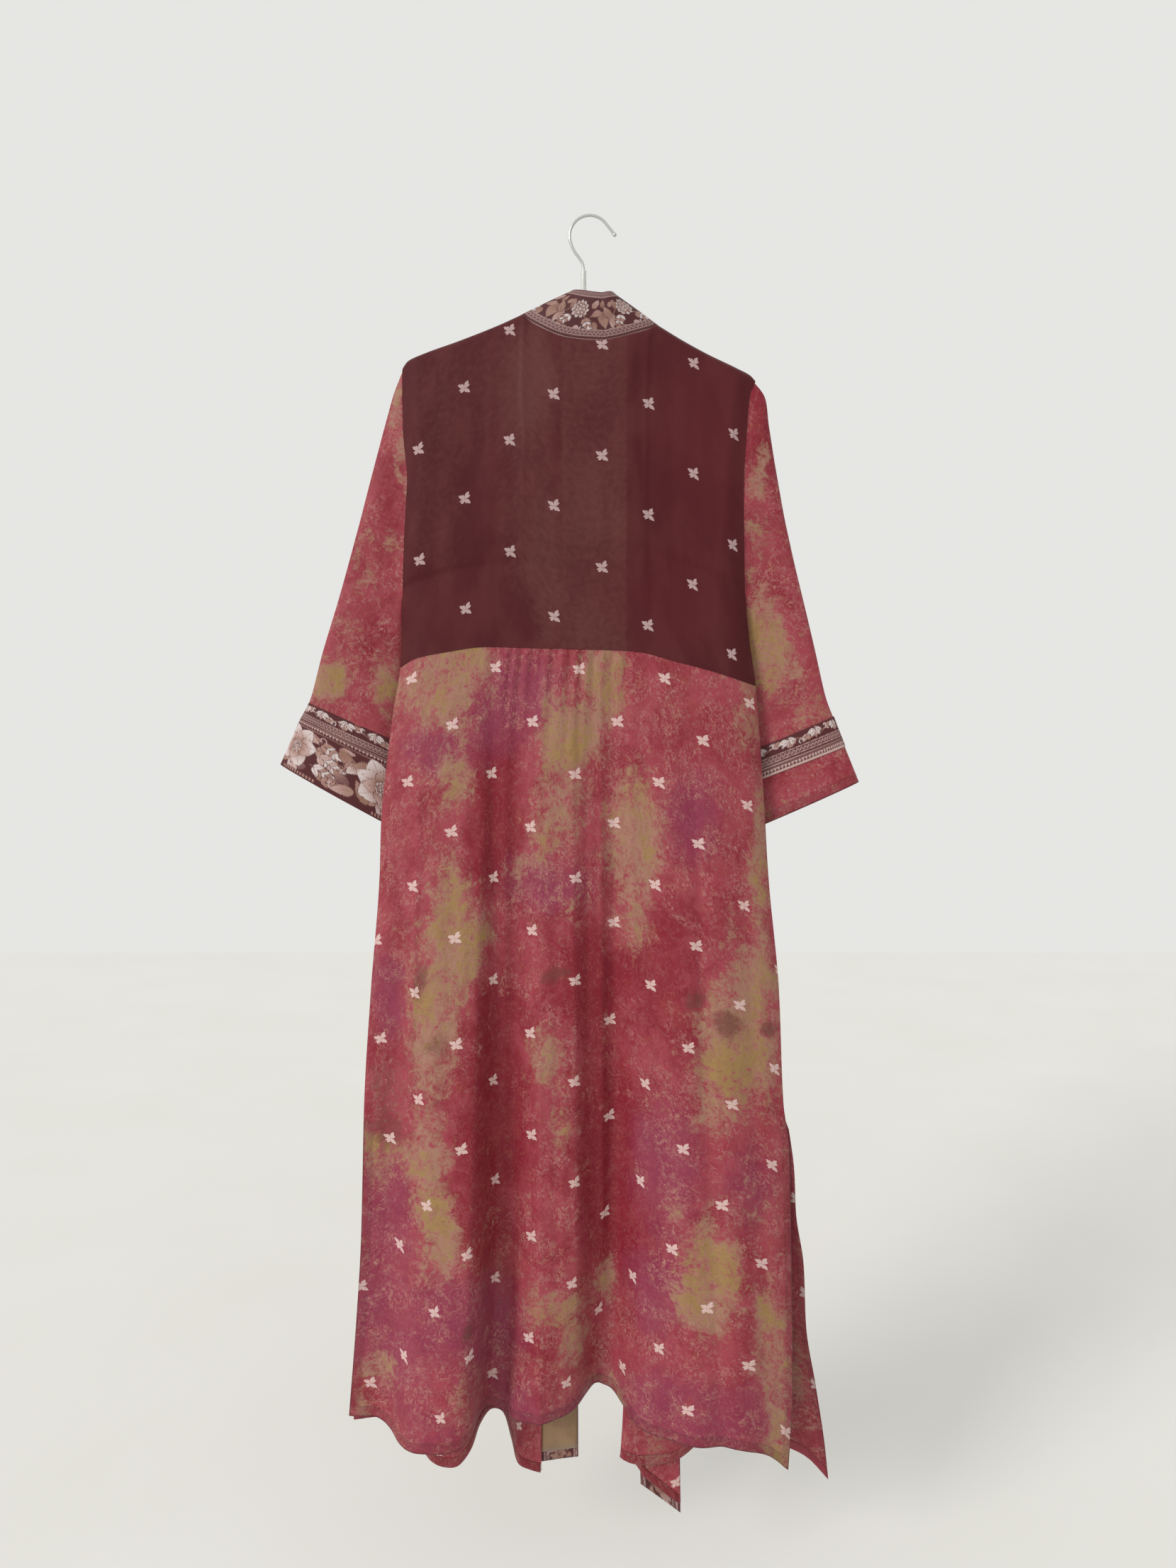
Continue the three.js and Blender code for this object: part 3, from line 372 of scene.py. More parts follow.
# Long soft folds of the skirt: x at the waist seam and at the hem, width at the hem, depth (towards
# the back where negative), and the heights between which it grows.
SKIRT_FOLDS = [
    (-196, -236, 6, -2.2, -540, -900), (-205, -262, 16, 2.0, -560, -1000), (-150, -192, 14, 1.6, -520, -900),
    (-122, -150, 9, -1.8, -510, -1000), (-112, -128, 10, 2.4, -505, -760), (-96, -112, 7, -1.6, -505, -900),
    (-74, -78, 9, 1.4, -505, -1150), (-58, -62, 4, -1.6, -505, -1200), (-40, -40, 8, 1.5, -505, -1000),
    (-22, -14, 6, -1.5, -505, -850), (-6, 2, 7, 1.8, -505, -900), (12, 18, 5, -1.4, -505, -800),
    (28, 36, 7, 1.7, -505, -800), (46, 62, 8, -1.8, -505, -900), (64, 96, 12, 1.8, -520, -900),
    (92, 128, 15, -1.6, -530, -1000), (118, 160, 9, 1.5, -540, -900), (146, 188, 18, -1.6, -550, -900),
    (176, 222, 12, 1.4, -560, -1000),
]


def skirt_grid():
    """The lower back, gathered at the waist seam, with its hem folds."""
    u = shares([0, 0.0018, 0.0045, 0.009], 188)
    v = SKIRT_ROWS / SKIRT_ROWS[-1]
    hem = even(curve(BACK_HEM))(u)
    top = seam_line(u)

    def side(edge, end, start):
        z = mix(start[2], end[2], v)
        opened = smooth(SLIT_TOP_Z - z, 0, SLIT_TOP_Z - end[2])
        return points(edge(z), mix(-SIDE_HALF_GAP, end[1], opened), z)

    left, right = side(side_left, hem[0], top[0]), side(side_right, hem[-1], top[-1])
    grid = patch(u, v, top, hem, left, right)
    x, z = grid[..., 0], grid[..., 2]
    seam_x, seam_z = top[:, 0], top[:, 2]
    drop = np.maximum(0, seam_z[:, None] - z)
    t = (seam_x - GATHER["from"]) / (GATHER["to"] - GATHER["from"])
    swell = np.where((t > 0) & (t < 1), np.sin(math.pi * np.clip(t, 0, 1)) ** 0.5, 0)
    wobble = 0.35 * noise(seam_x, 0 * seam_x, 14, 7)
    wave = np.cos(TAU * (GATHER["waves"] * t + wobble))
    gathers = GATHER["depth"] * (swell * wave)[:, None] * np.exp(-drop / GATHER["fade"])
    grid[..., 1] += gathers * smooth(drop, 0, 11)
    fine = np.cos(TAU * (29 * t + 2 * wobble)) * swell
    grid[..., 1] += 0.8 * fine[:, None] * np.exp(-drop / 22) * smooth(drop, 0, 7)
    inside = smooth(np.minimum(u, 1 - u), 0, 0.025)[:, None]
    share = np.clip(v, 0, 1)[None]
    for waist, foot, width, depth, start, full in SKIRT_FOLDS:
        at = mix(waist, foot, share)
        wide = width * mix(0.7, 1.15, share)
        grow = smooth(-z, -start - 20, -full)
        grid[..., 1] += 1.5 * depth * grow * np.exp(-(((x - at) / wide) ** 2)) * inside
    soft = 1.5 * noise(x, z * 0.28, 60, 11) + 0.5 * noise(x, z * 0.4, 17, 12)
    grid[..., 1] += inside * soft * smooth(drop, 5, 60)
    grid[..., 1] += inside * 0.22 * noise(x, z * 0.8, 6, 13) * smooth(drop, 0, 10) + 0.7 * np.exp(-drop / 2.5)
    grid[:, :4, 1] += 1.6
    hem_run = lengths(grid, 1)
    edge = hem_run[:, -1:] - hem_run
    side_run = lengths(grid, 0)
    slit = smooth(-z, -SLIT_TOP_Z - 25, -SLIT_TOP_Z)
    beside = np.minimum(side_run, side_run[-1:] - side_run)
    edge = np.minimum(edge, beside + 60 * (1 - slit))
    return grid, u, v, edge


# ---- the fronts -----------------------------------------------------------------------------
def front_grid(side, band, hem_rows, u, share, shoulder, tip_x, edge, slit_edge):
    """One front, from its shoulder seam to its hem, tucked under the band at its inner edge."""
    hem = curve(hem_rows)(u)
    free, sewn = (p[0] for p in band([FOLD_ROW]))
    neck = sewn - NECK_OVERLAP * (sewn - free) / np.linalg.norm(sewn - free)
    x = mix(tip_x, neck[0], share(u))
    top = points(x, 0.0, shoulder(x) + 0.3)
    top[-1, 2] = neck[2]
    v = FRONT_ROWS
    tip, foot = top[0], hem[0]
    z = mix(tip[2], foot[2], v)
    opened = smooth(SLIT_TOP_Z - z, 0, SLIT_TOP_Z - foot[2])
    y = np.where(z > UNDERARM_Z, armhole_half(z, tip[2]) * smooth(v, 0, 0.004), SIDE_HALF_GAP)
    outer = points(np.where(z > SLIT_TOP_Z, edge(z), slit_edge(z)), mix(y, foot[1], opened), z)
    z = mix(neck[2], hem[-1, 2], v)
    rows = np.linspace(FOLD_ROW, len(BAND_LEFT) - 1, 800)
    line = band(rows)[1]
    order = np.argsort(-np.minimum.accumulate(line[:, 2]), kind="stable")
    level = -np.minimum.accumulate(line[:, 2])[order]
    inset = FRONT_INSET * smooth(neck[2] - z, 0, neck[2] - FACING_Z)
    inner = points(np.interp(-z, level, line[order, 0]), np.interp(-z, level, line[order, 1]) - inset, z)
    inner[:, 0] -= side * NECK_OVERLAP * (1 - smooth(v, 0.9, 1))
    inner[:, 1] = np.maximum(inner[:, 1] - 0.6, 0.6 * smooth(v, 0, 0.004))
    outer[0], inner[0], outer[-1], inner[-1] = top[0], top[-1], hem[0], hem[-1]
    grid = patch(u, v, top, hem, outer, inner)
    growth = mix(2, 1, smooth(u, 0.5, 0.65))[:, None]
    fold = (hem[:, 1] - mix(hem[0, 1], hem[-1, 1], u))[:, None]
    on_arm = (smooth(u, 0, 0.1) * smooth(1 - u, 0, 0.12))[:, None]
    drop = v[None] * (top[:, 2] - hem[-1, 2])[:, None]
    rise = 1 - np.exp(-drop / ROLL["height"])
    roll = ROLL["depth"] * on_arm * rise * np.exp(-((drop / ROLL["fade"]) ** 2))
    grid[..., 1] = mix(outer[None, :, 1], inner[None, :, 1], u[:, None]) + fold * v**growth + roll
    inside = smooth(np.minimum(u, 1 - u), 0, 0.05)[:, None] * smooth(v, 0.01, 0.05) * (1 - smooth(v, 0.9, 1))
    x, z = grid[..., 0], grid[..., 2]
    grid[..., 1] += inside * (0.9 * noise(x, z * 0.3, 50, 21) + 0.4 * noise(x, z * 0.4, 16, 22))
    run = lengths(grid, 1)
    across = lengths(grid, 0)
    slit = smooth(-z, -SLIT_TOP_Z - 25, -SLIT_TOP_Z)
    away = np.minimum(run[:, -1:] - run, across + 60 * (1 - slit))
    return grid, u, away


def fold_share(u):
    """Where each column of the right front starts on the shoulder: it folds under at one of them."""
    edge = 11 / 16
    return np.where(u < edge, u / edge * 0.43, 1 - (1 - u) / (1 - edge) * 0.57)


# ---- sleeves --------------------------------------------------------------------------------
def sleeve(rows, armhole_edge, tuck):
    """A sleeve's surface by row and angle, its first rows tucked in at the armhole and the side seam."""
    rows = np.array(rows, float)
    last = len(rows) - 1
    rows[1:4, 3] += np.multiply(UNDERARM_TUCK, np.sign(tuck))
    top, under = curve(rows[:, :3]), curve(rows[:, 3:6])
    half = reader(np.column_stack([np.arange(last + 1), rows[:, 6]]))

    def at(row, angle):
        row, angle = np.asarray(row, float)[None], np.asarray(angle, float)[:, None]
        across = ((1 - np.cos(angle)) / 2)[..., None]
        start = mix(top(0.0), under(0.0), across)
        p = mix(top(row / last), under(row / last), across)
        fade = (1 - row / last) ** 8
        p[..., 0] += (armhole_edge(start[..., 2]) + tuck - start[..., 0]) * fade
        p[..., 1] -= (half(row) - 0.8 * smooth(1 - row, 0, 1)) * flat_round(np.sin(angle))
        return p

    return at


sleeve_left = sleeve(SLEEVE_LEFT, side_left, 1.2)
sleeve_right = sleeve(SLEEVE_RIGHT, side_right, -1.2)
cuff_row_right = sum(TRIM_ROWS_RIGHT) / 2


def tube(surface, rows, around, out=0.0, wrinkle=0.0, seed=30):
    """A sleeve's grid between two rows, from the underarm fold round to it again."""
    angle = np.linspace(math.pi, 3 * math.pi, around + 1)
    grid = surface(rows, angle)
    n = normals(grid)
    n[0] = n[-1] = (n[0] + n[-1]) / 2
    n *= np.sign(np.sum(n * (grid - grid.mean(axis=0))))
    x, z = grid[..., 0], grid[..., 2]
    inside = np.abs(np.sin(angle))[:, None] ** 0.5
    push = out + wrinkle * inside * (noise(x, z, 34, seed) + 0.4 * noise(x, z * 0.7, 13, seed + 1))
    return grid + n * push[..., None]


# ---- meshes ---------------------------------------------------------------------------------
def new_piece(name, verts, faces, material):
    """A smooth mesh in the scene, from points in millimetres."""
    mesh = bpy.data.meshes.new(name)
    mesh.from_pydata((np.reshape(verts, (-1, 3)) * MM).tolist(), [], faces)
    mesh.polygons.foreach_set("use_smooth", [True] * len(faces))
    mesh.materials.append(material)
    piece = bpy.data.objects.new(name, mesh)
    bpy.context.scene.collection.objects.link(piece)
    return piece


def sheet_mesh(name, grid, material, maps, colours=None, fields=None, thickness=0.5):
    """A grid of points as one sheet of cloth, with its cloth coordinates and attributes."""
    index = np.arange(grid[..., 0].size).reshape(grid.shape[:2])
    quads = np.stack([index[:-1, :-1], index[:-1, 1:], index[1:, 1:], index[1:, :-1]], axis=-1)
    order = quads.ravel()
    piece = new_piece(name, grid, order.reshape(-1, 4).tolist(), material)
    for label, values in maps.items():
        layer = piece.data.uv_layers.new(name=label)
        layer.data.foreach_set("uv", values.reshape(-1, 2)[order].astype(np.float32).ravel())
    for label, values in (colours or {}).items():
        made = piece.data.attributes.new(label, "FLOAT_COLOR", "POINT")
        made.data.foreach_set("color", values.astype(np.float32).ravel())
    for label, values in (fields or {}).items():
        made = piece.data.attributes.new(label, "FLOAT", "POINT")
        made.data.foreach_set("value", values.astype(np.float32).ravel())
    solid = piece.modifiers.new("cloth", "SOLIDIFY")
    solid.thickness = thickness * MM
    solid.offset = 0
    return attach(piece, "root")


# ---- materials ------------------------------------------------------------------------------
def srgb(red, green, blue):
    """A screen colour, 0 to 255, as a linear one."""
    c = np.array([red, green, blue]) / 255
    linear = np.where(c <= 0.04045, c / 12.92, ((c + 0.055) / 1.055) ** 2.4)
    return (*(float(x) for x in linear), 1.0)


class Finish:
    """A material's nodes, written as nested calls; a value is a number, a colour or a socket."""

    def __init__(self, name):
        self.material = bpy.data.materials.new(name)
        self.material.use_nodes = True
        self.tree = self.material.node_tree
        self.tree.nodes.clear()

    def node(self, kind, inputs=None, out=0, **settings):
        made = self.tree.nodes.new("ShaderNode" + kind)
        for key, value in settings.items():
            setattr(made, key, value)
        for key, value in (inputs or {}).items():
            if isinstance(value, bpy.types.NodeSocket):
                self.tree.links.new(value, made.inputs[key])
            else:
                made.inputs[key].default_value = value
        return made.outputs[out]

    def math(self, operation, a, b=0.0, c=0.0):
        return self.node("Math", {0: a, 1: b, 2: c}, operation=operation)

    def times(self, a, b):
        return self.math("MULTIPLY", a, b)

    def scaled(self, value, factor, plus):
        """A value times a factor, plus another value."""
        return self.math("MULTIPLY_ADD", value, factor, plus)

    def step(self, value, low, high):
        """0 below low, 1 above high, and smooth between them; low may be the larger."""
        kind = {"interpolation_type": "SMOOTHSTEP"}
        return self.node("MapRange", {0: value, 1: low, 2: high, 3: 0.0, 4: 1.0}, **kind)

    def blend(self, a, b, share, how="MIX"):
        return self.node("Mix", {0: share, 6: a, 7: b}, out=2, data_type="RGBA", blend_type=how)

    def lay(self, colour, over, share, most):
        """A colour with another laid over it, by a share of the most that it may cover."""
        return self.blend(colour, over, self.times(share, most))

    def sway(self, noise, amount, value):
        """A value moved up and down by a noise that lies about 0.5."""
        return self.scaled(self.math("SUBTRACT", noise, 0.5), amount, value)

    def channel(self, colour, k):
        return self.node("SeparateColor", {0: colour}, out=k)

    def shade(self, colour, brightness):
        """The colour with its brightness multiplied by a socket's value."""
        return self.node("HueSaturation", {"Value": brightness, "Color": colour})

    def noise(self, at, scale, detail=2.0, out=0, **inputs):
        return self.node("TexNoise", {"Vector": at, "Scale": scale, "Detail": detail, **inputs}, out=out)

    def cells(self, at, scale, out, feature="F1"):
        return self.node("TexVoronoi", {"Vector": at, "Scale": scale}, out=out, feature=feature)

    def stretched(self, at, x, y):
        return self.node("Mapping", {"Vector": at, "Scale": (x, y, 1.0)}, vector_type="POINT")

    def field(self, name):
        return self.node("Attribute", out="Fac", attribute_name=name)

    def close(self, colour, roughness, **inputs):
        shader = self.node("BsdfPrincipled", {"Base Color": colour, "Roughness": roughness, **inputs})
        end = self.tree.nodes.new("ShaderNodeOutputMaterial")
        self.tree.links.new(shader, end.inputs["Surface"])
        return self.material


def weave(f, at):
    """Brightness and height of a plain weave with slubs both ways."""
    warp = f.noise(f.stretched(at, 1600.0, 45.0), 1.0, 2.0)
    weft = f.noise(f.stretched(at, 60.0, 1500.0), 1.0, 2.0)
    both = f.math("ADD", warp, weft)
    return f.scaled(both, 0.22, 0.78), both


def cloth(f, at, colour, roughness, shine, raised=0.0):
    """Closes a silk's material: its threads, and a bump for them and for what is raised on it."""
    light, height = weave(f, at)
    ridge = f.scaled(raised, 1.5, height)
    bump = f.node("Bump", {"Strength": 0.25, "Distance": 0.0004, "Height": ridge})
    return f.close(f.shade(colour, light), roughness, Normal=bump, **shine)


def leaves(f, pitch, leaf_table):
    """How far each point is inside a woven sprig, where sprigs stand on a half-drop lattice."""
    lattice = f.node("UVMap", uv_map="lattice")
    best = None
    for shift in (0.0, 1.0):
        near = f.node("VectorMath", {0: lattice, 1: (shift, shift, 0.0)}, operation="SUBTRACT")
        half = f.node("VectorMath", {0: near, "Scale": 0.5}, operation="SCALE")
        half = f.node("VectorMath", {0: half, 1: (0.5, 0.5, 0.0)}, operation="ADD")
        part = f.node("VectorMath", {0: half}, operation="FRACTION")
        part = f.node("VectorMath", {0: part, 1: (0.5, 0.5, 0.0)}, operation="SUBTRACT")
        size = (2 * pitch[0] * MM, -2 * pitch[1] * MM, 0.0)
        local = f.node("VectorMath", {0: part, 1: size}, operation="MULTIPLY")
        for angle, length, width in leaf_table:
            turn = math.radians(angle)
            centre = (0.2 + length / 2) * MM
            place = {
                "Vector": local,
                "Location": (math.cos(turn) * centre, math.sin(turn) * centre, 0.0),
                "Rotation": (0.0, 0.0, turn),
                "Scale": (length / 2 * MM, width / 2 * MM, 1.0),
            }
            inside = f.node("Mapping", place, vector_type="TEXTURE")
            u = f.node("SeparateXYZ", {0: inside})
            away = f.scaled(u, u, f.math("ABSOLUTE", u.node.outputs[1]))
            best = away if best is None else f.math("MINIMUM", best, away)
    return f.step(best, 1.12, 0.82)


# A woven sprig's pointed leaves: angle, length and width.
SPRIG = [
    (62, 9.6, 4.4), (34, 7.6, 2.6), (150, 8.4, 4.2), (118, 5.8, 2.0), (232, 6.8, 3.8), (205, 6.8, 2.2),
    (322, 8.4, 4.2), (292, 5.6, 2.2),
]


SILK_SHINE = {
    "Sheen Weight": 0.08,
    "Sheen Roughness": 0.4,
    "Sheen Tint": (1.0, 0.86, 0.84, 1.0),
    "Specular IOR Level": 0.25,
}
YOKE_SHINE = {
    "Sheen Weight": 0.02,
    "Sheen Roughness": 0.4,
    "Sheen Tint": (1.0, 0.85, 0.84, 1.0),
    "Specular IOR Level": 0.12,
}
SKIRT_PITCH, YOKE_PITCH = (46.5, 62.3), (53.5, 63.9)

# Colours of the dyed silk.
RASPBERRY, DEEP_CRIMSON, PURPLE = srgb(148, 57, 70), srgb(121, 18, 38), srgb(125, 43, 72)
RUST, PALE_FLECK, PALE_VEIN = srgb(152, 68, 60), srgb(165, 121, 108), srgb(180, 130, 118)
TAN_PATCH, OLIVE_PATCH, OLIVE_SHADE = srgb(152, 113, 96), srgb(145, 117, 71), srgb(134, 96, 70)
STAIN, CELL_LINE, DARK_VEIN = srgb(98, 50, 44), srgb(112, 40, 48), srgb(122, 40, 48)
SPRIG_DULL, SPRIG_BRIGHT = srgb(190, 152, 148), srgb(220, 198, 192)


def crumple(f, at):
    """Noises in the shapes that dye takes in crumpled cloth, each about 0.5."""
    bend = f.noise(at, 55.0, 4.0, out="Color")
    bend = f.node("VectorMath", {0: bend, 1: (0.5, 0.5, 0.5)}, operation="SUBTRACT")
    bend = f.node("VectorMath", {0: bend, "Scale": 0.022}, operation="SCALE")
    bent = f.stretched(f.node("VectorMath", {0: at, 1: bend}, operation="ADD"), 1.0, 0.5)
    tint = f.cells(bent, 210.0, "Color")
    wisp = f.noise(at, 58.0, 7.0, Roughness=0.66, Distortion=2.2)
    stroke = f.noise(f.stretched(bent, 95.0, 210.0), 1.0, 3.0, Distortion=1.2)
    petal = f.math("SUBTRACT", f.channel(tint, 0), 0.5)
    filament = f.math("SUBTRACT", f.noise(bent, 88.0, 3.0, Distortion=1.6), 0.5)
    return SimpleNamespace(
        wisp=wisp,
        stroke=stroke,
        wisps=f.sway(stroke, 1.1, f.sway(wisp, 3.0, f.times(petal, 0.3))),
        speck=f.noise(at, 170.0, 5.0, Roughness=0.65, Distortion=1.4),
        cell=f.channel(tint, 1),
        rim=f.cells(bent, 210.0, "Distance", "DISTANCE_TO_EDGE"),
        vein=f.math("ABSOLUTE", filament),
    )


def red_ground(f, at, marks, plum, crimson):
    """Raspberry and crimson silk with purple and rusty clouds, pale flecks and pale veins."""
    cloud = f.noise(at, 17.0, 5.0, Roughness=0.6, Distortion=0.7)
    deep = f.scaled(crimson, 0.9, f.sway(cloud, 2.4, 0.42))
    deep = f.scaled(marks.wisps, 0.55, deep)
    colour = f.blend(RASPBERRY, DEEP_CRIMSON, f.step(deep, -0.05, 1.1))
    purple = f.scaled(marks.wisps, 0.35, plum)
    colour = f.lay(colour, PURPLE, f.step(purple, 0.2, 1.05), 0.75)
    rust = f.scaled(marks.wisps, 0.5, f.noise(at, 24.0, 3.0))
    colour = f.lay(colour, RUST, f.step(rust, 0.45, 1.1), 0.5)
    fleck = f.scaled(marks.wisps, -0.3, f.sway(marks.stroke, 0.9, marks.speck))
    airy = f.scaled(crimson, -0.25, f.noise(at, 30.0, 3.0, Distortion=0.5))
    airy = f.scaled(f.step(airy, 0.4, 0.58), 0.75, 0.25)
    colour = f.lay(colour, PALE_FLECK, f.step(fleck, 0.45, 0.85), f.times(airy, 0.78))
    vein = f.times(f.step(marks.vein, 0.04, 0.0), f.step(marks.wisp, 0.42, 0.6))
    return f.lay(colour, PALE_VEIN, f.times(vein, airy), 0.66)


def olive_patches(f, at, marks, colour, olive, crimson):
    """Olive in the middle of a patch and tan at its broken edges; none in the deepest crimson."""
    ragged = f.noise(at, 21.0, 6.0, Roughness=0.62, Distortion=1.0)
    share = f.sway(ragged, 1.9, f.scaled(crimson, -0.45, olive))
    share = f.sway(marks.speck, 0.7, f.scaled(marks.wisps, 0.62, share))
    yellow = f.sway(f.noise(at, 13.0), 1.8, share)
    warm = f.blend(TAN_PATCH, OLIVE_PATCH, f.step(yellow, 0.7, 1.35))
    darker = f.sway(marks.wisp, 1.6, marks.cell)
    warm = f.lay(warm, OLIVE_SHADE, f.step(darker, 0.5, 1.1), 0.4)
    return f.lay(colour, warm, f.step(share, 0.25, 1.0), 0.95)


def dark_marks(f, marks, colour, stain):
    """Brown stains, and dark lines where the cloth was creased in the dye."""
    spot = f.sway(marks.speck, 1.4, stain)
    colour = f.lay(colour, STAIN, f.step(spot, 0.35, 1.0), 0.74)
    line = f.times(f.step(marks.rim, 0.07, 0.0), f.step(marks.cell, 0.3, 0.7))
    line = f.times(line, f.step(marks.wisp, 0.35, 0.6))
    colour = f.lay(colour, CELL_LINE, line, 0.34)
    vein = f.times(f.step(marks.vein, 0.03, 0.0), f.step(marks.wisp, 0.55, 0.4))
    return f.lay(colour, DARK_VEIN, vein, 0.45)


def dyed_silk(name, sprigs):
    """Tie-dyed silk, with woven sprigs if they are wanted, darker where a hem doubles it, and with painted
    shade along the last 2 mm of its hem and slit edges.
    """
    f = Finish(name)
    at = f.node("UVMap", uv_map="UVMap")
    dye = f.node("Attribute", out="Color", attribute_name="dye")
    crimson = f.node("Attribute", out="Alpha", attribute_name="dye")
    marks = crumple(f, at)
    colour = red_ground(f, at, marks, f.channel(dye, 1), crimson)
    colour = olive_patches(f, at, marks, colour, f.channel(dye, 0), crimson)
    colour = dark_marks(f, marks, colour, f.channel(dye, 2))
    sprig = 0.0
    if sprigs:
        sprig = leaves(f, SKIRT_PITCH, SPRIG)
        thread = f.noise(f.stretched(at, 1100.0, 700.0), 1.0, 1.0)
        colour = f.lay(colour, f.blend(SPRIG_DULL, SPRIG_BRIGHT, thread), sprig, 0.85)
    edge = f.field("edge")
    doubled = f.scaled(f.step(edge, TURN_UP + 0.6, TURN_UP - 0.6), -0.19, 1.0)
    # Painted shade: the cloth is darkened over its last 2 mm before a hem or slit edge, a thin dark rim at
    # its silhouette.
    edge_shade = f.scaled(f.step(edge, 2.2, 0.9), -0.34, 1.0)
    colour = f.shade(colour, f.times(doubled, edge_shade))
    rough = f.scaled(sprig, -0.08, 0.56)
    return cloth(f, at, colour, rough, SILK_SHINE, sprig)


def yoke_silk():
    """Dark maroon silk, faded to olive-brown in upright bands, with silvery sprigs."""
    f = Finish("yoke_silk")
    at = f.node("UVMap", uv_map="UVMap")
    dye = f.node("Attribute", out="Color", attribute_name="dye")
    cloud = f.noise(f.stretched(at, 30.0, 14.0), 1.0, 3.0)
    colour = f.blend(srgb(74, 26, 30), srgb(82, 34, 36), f.step(cloud, 0.4, 0.65))
    faded = f.sway(f.noise(at, 140.0, 4.0), 0.9, f.channel(dye, 0))
    colour = f.lay(colour, srgb(94, 53, 50), f.step(faded, 0.1, 1.1), 0.9)
    colour = f.lay(colour, srgb(86, 28, 34), f.channel(dye, 1), 0.6)
    sprig = leaves(f, YOKE_PITCH, SPRIG)
    colour = f.lay(colour, srgb(186, 160, 160), sprig, 0.78)
    return cloth(f, at, colour, 0.62, YOKE_SHINE, sprig)


def brocade():
    """Woven colours kept on the cloth's points, with diagonal floats of thread over them."""
    f = Finish("brocade")
    at = f.node("UVMap", uv_map="UVMap")
    woven = f.node("Attribute", out="Color", attribute_name="woven")
    thread = f.node("Attribute", out="Alpha", attribute_name="woven")
    wave = {"Vector": at, "Scale": 300.0, "Distortion": 1.2, "Detail": 1.0}
    twill = f.node("TexWave", wave, out="Fac", wave_type="BANDS", bands_direction="DIAGONAL")
    slub = f.noise(f.stretched(at, 90.0, 700.0), 1.0, 3.0)
    light = f.scaled(f.times(twill, thread), 0.22, 0.8)
    light = f.scaled(slub, 0.26, light)
    colour = f.shade(woven, light)
    height = f.scaled(thread, 2.0, f.math("ADD", twill, slub))
    bump = f.node("Bump", {"Strength": 0.4, "Distance": 0.0004, "Height": height})
    rough = f.scaled(thread, -0.14, 0.56)
    shine = {"Sheen Weight": 0.08, "Sheen Roughness": 0.4, "Specular IOR Level": 0.3}
    return f.close(colour, rough, Normal=bump, **shine)


def plain_silk(name, colour, other, sheen=0.3):
    """Silk of nearly one colour."""
    f = Finish(name)
    at = f.node("UVMap", uv_map="UVMap")
    tone = f.blend(colour, other, f.step(f.noise(at, 40.0, 3.0), 0.38, 0.66))
    shine = {"Sheen Weight": sheen, "Sheen Roughness": 0.4, "Specular IOR Level": 0.35}
    return cloth(f, at, tone, 0.6, shine)


def brushed_steel():
    f = Finish("hook_steel")
    at = f.node("TexCoord", out="Object")
    mark = f.noise(f.stretched(at, 900.0, 900.0), 1.0, 4.0)
    colour = f.blend(srgb(186, 186, 184), srgb(206, 205, 202), mark)
    rough = f.scaled(mark, 0.14, 0.2)
    return f.close(colour, rough, Metallic=1.0)


def clear_plastic():
    f = Finish("clear_plastic")
    at = f.node("TexCoord", out="Object")
    mark = f.noise(at, 160.0, 3.0)
    colour = f.blend(srgb(222, 223, 218), srgb(208, 210, 206), mark)
    rough = f.scaled(mark, 0.12, 0.18)
    return f.close(colour, rough, Alpha=0.72, **{"Specular IOR Level": 0.5})


def pale_floor():
    f = Finish("pale_floor")
    at = f.node("TexCoord", out="Object")
    mark = f.noise(at, 3.0, 3.0)
    return f.close(f.blend(srgb(218, 217, 212), srgb(224, 223, 219), mark), 0.7)


# ---- dye patches ----------------------------------------------------------------------------
# The camera stands level with the waist and looks down a little; the back is 1342 mm from it.
CAMERA_HEIGHT, BACK_AWAY, TILT = -577.3, 1342, math.radians(3.6)
PICTURE_STEP, PICTURE_LEFT = 0.92904, 698.85
HALF_VIEW = 0.6923


def on_back(px, py):
    """Where a point of the picture, 1500 by 2000, lies on the upright plane of the garment's back."""
    across = PICTURE_STEP * px - PICTURE_LEFT
    up = HALF_VIEW * (1 - py / 1000)
    level, drop = math.cos(TILT), math.sin(TILT)
    return across, CAMERA_HEIGHT + BACK_AWAY * (up * level - drop) / (level + drop * up)


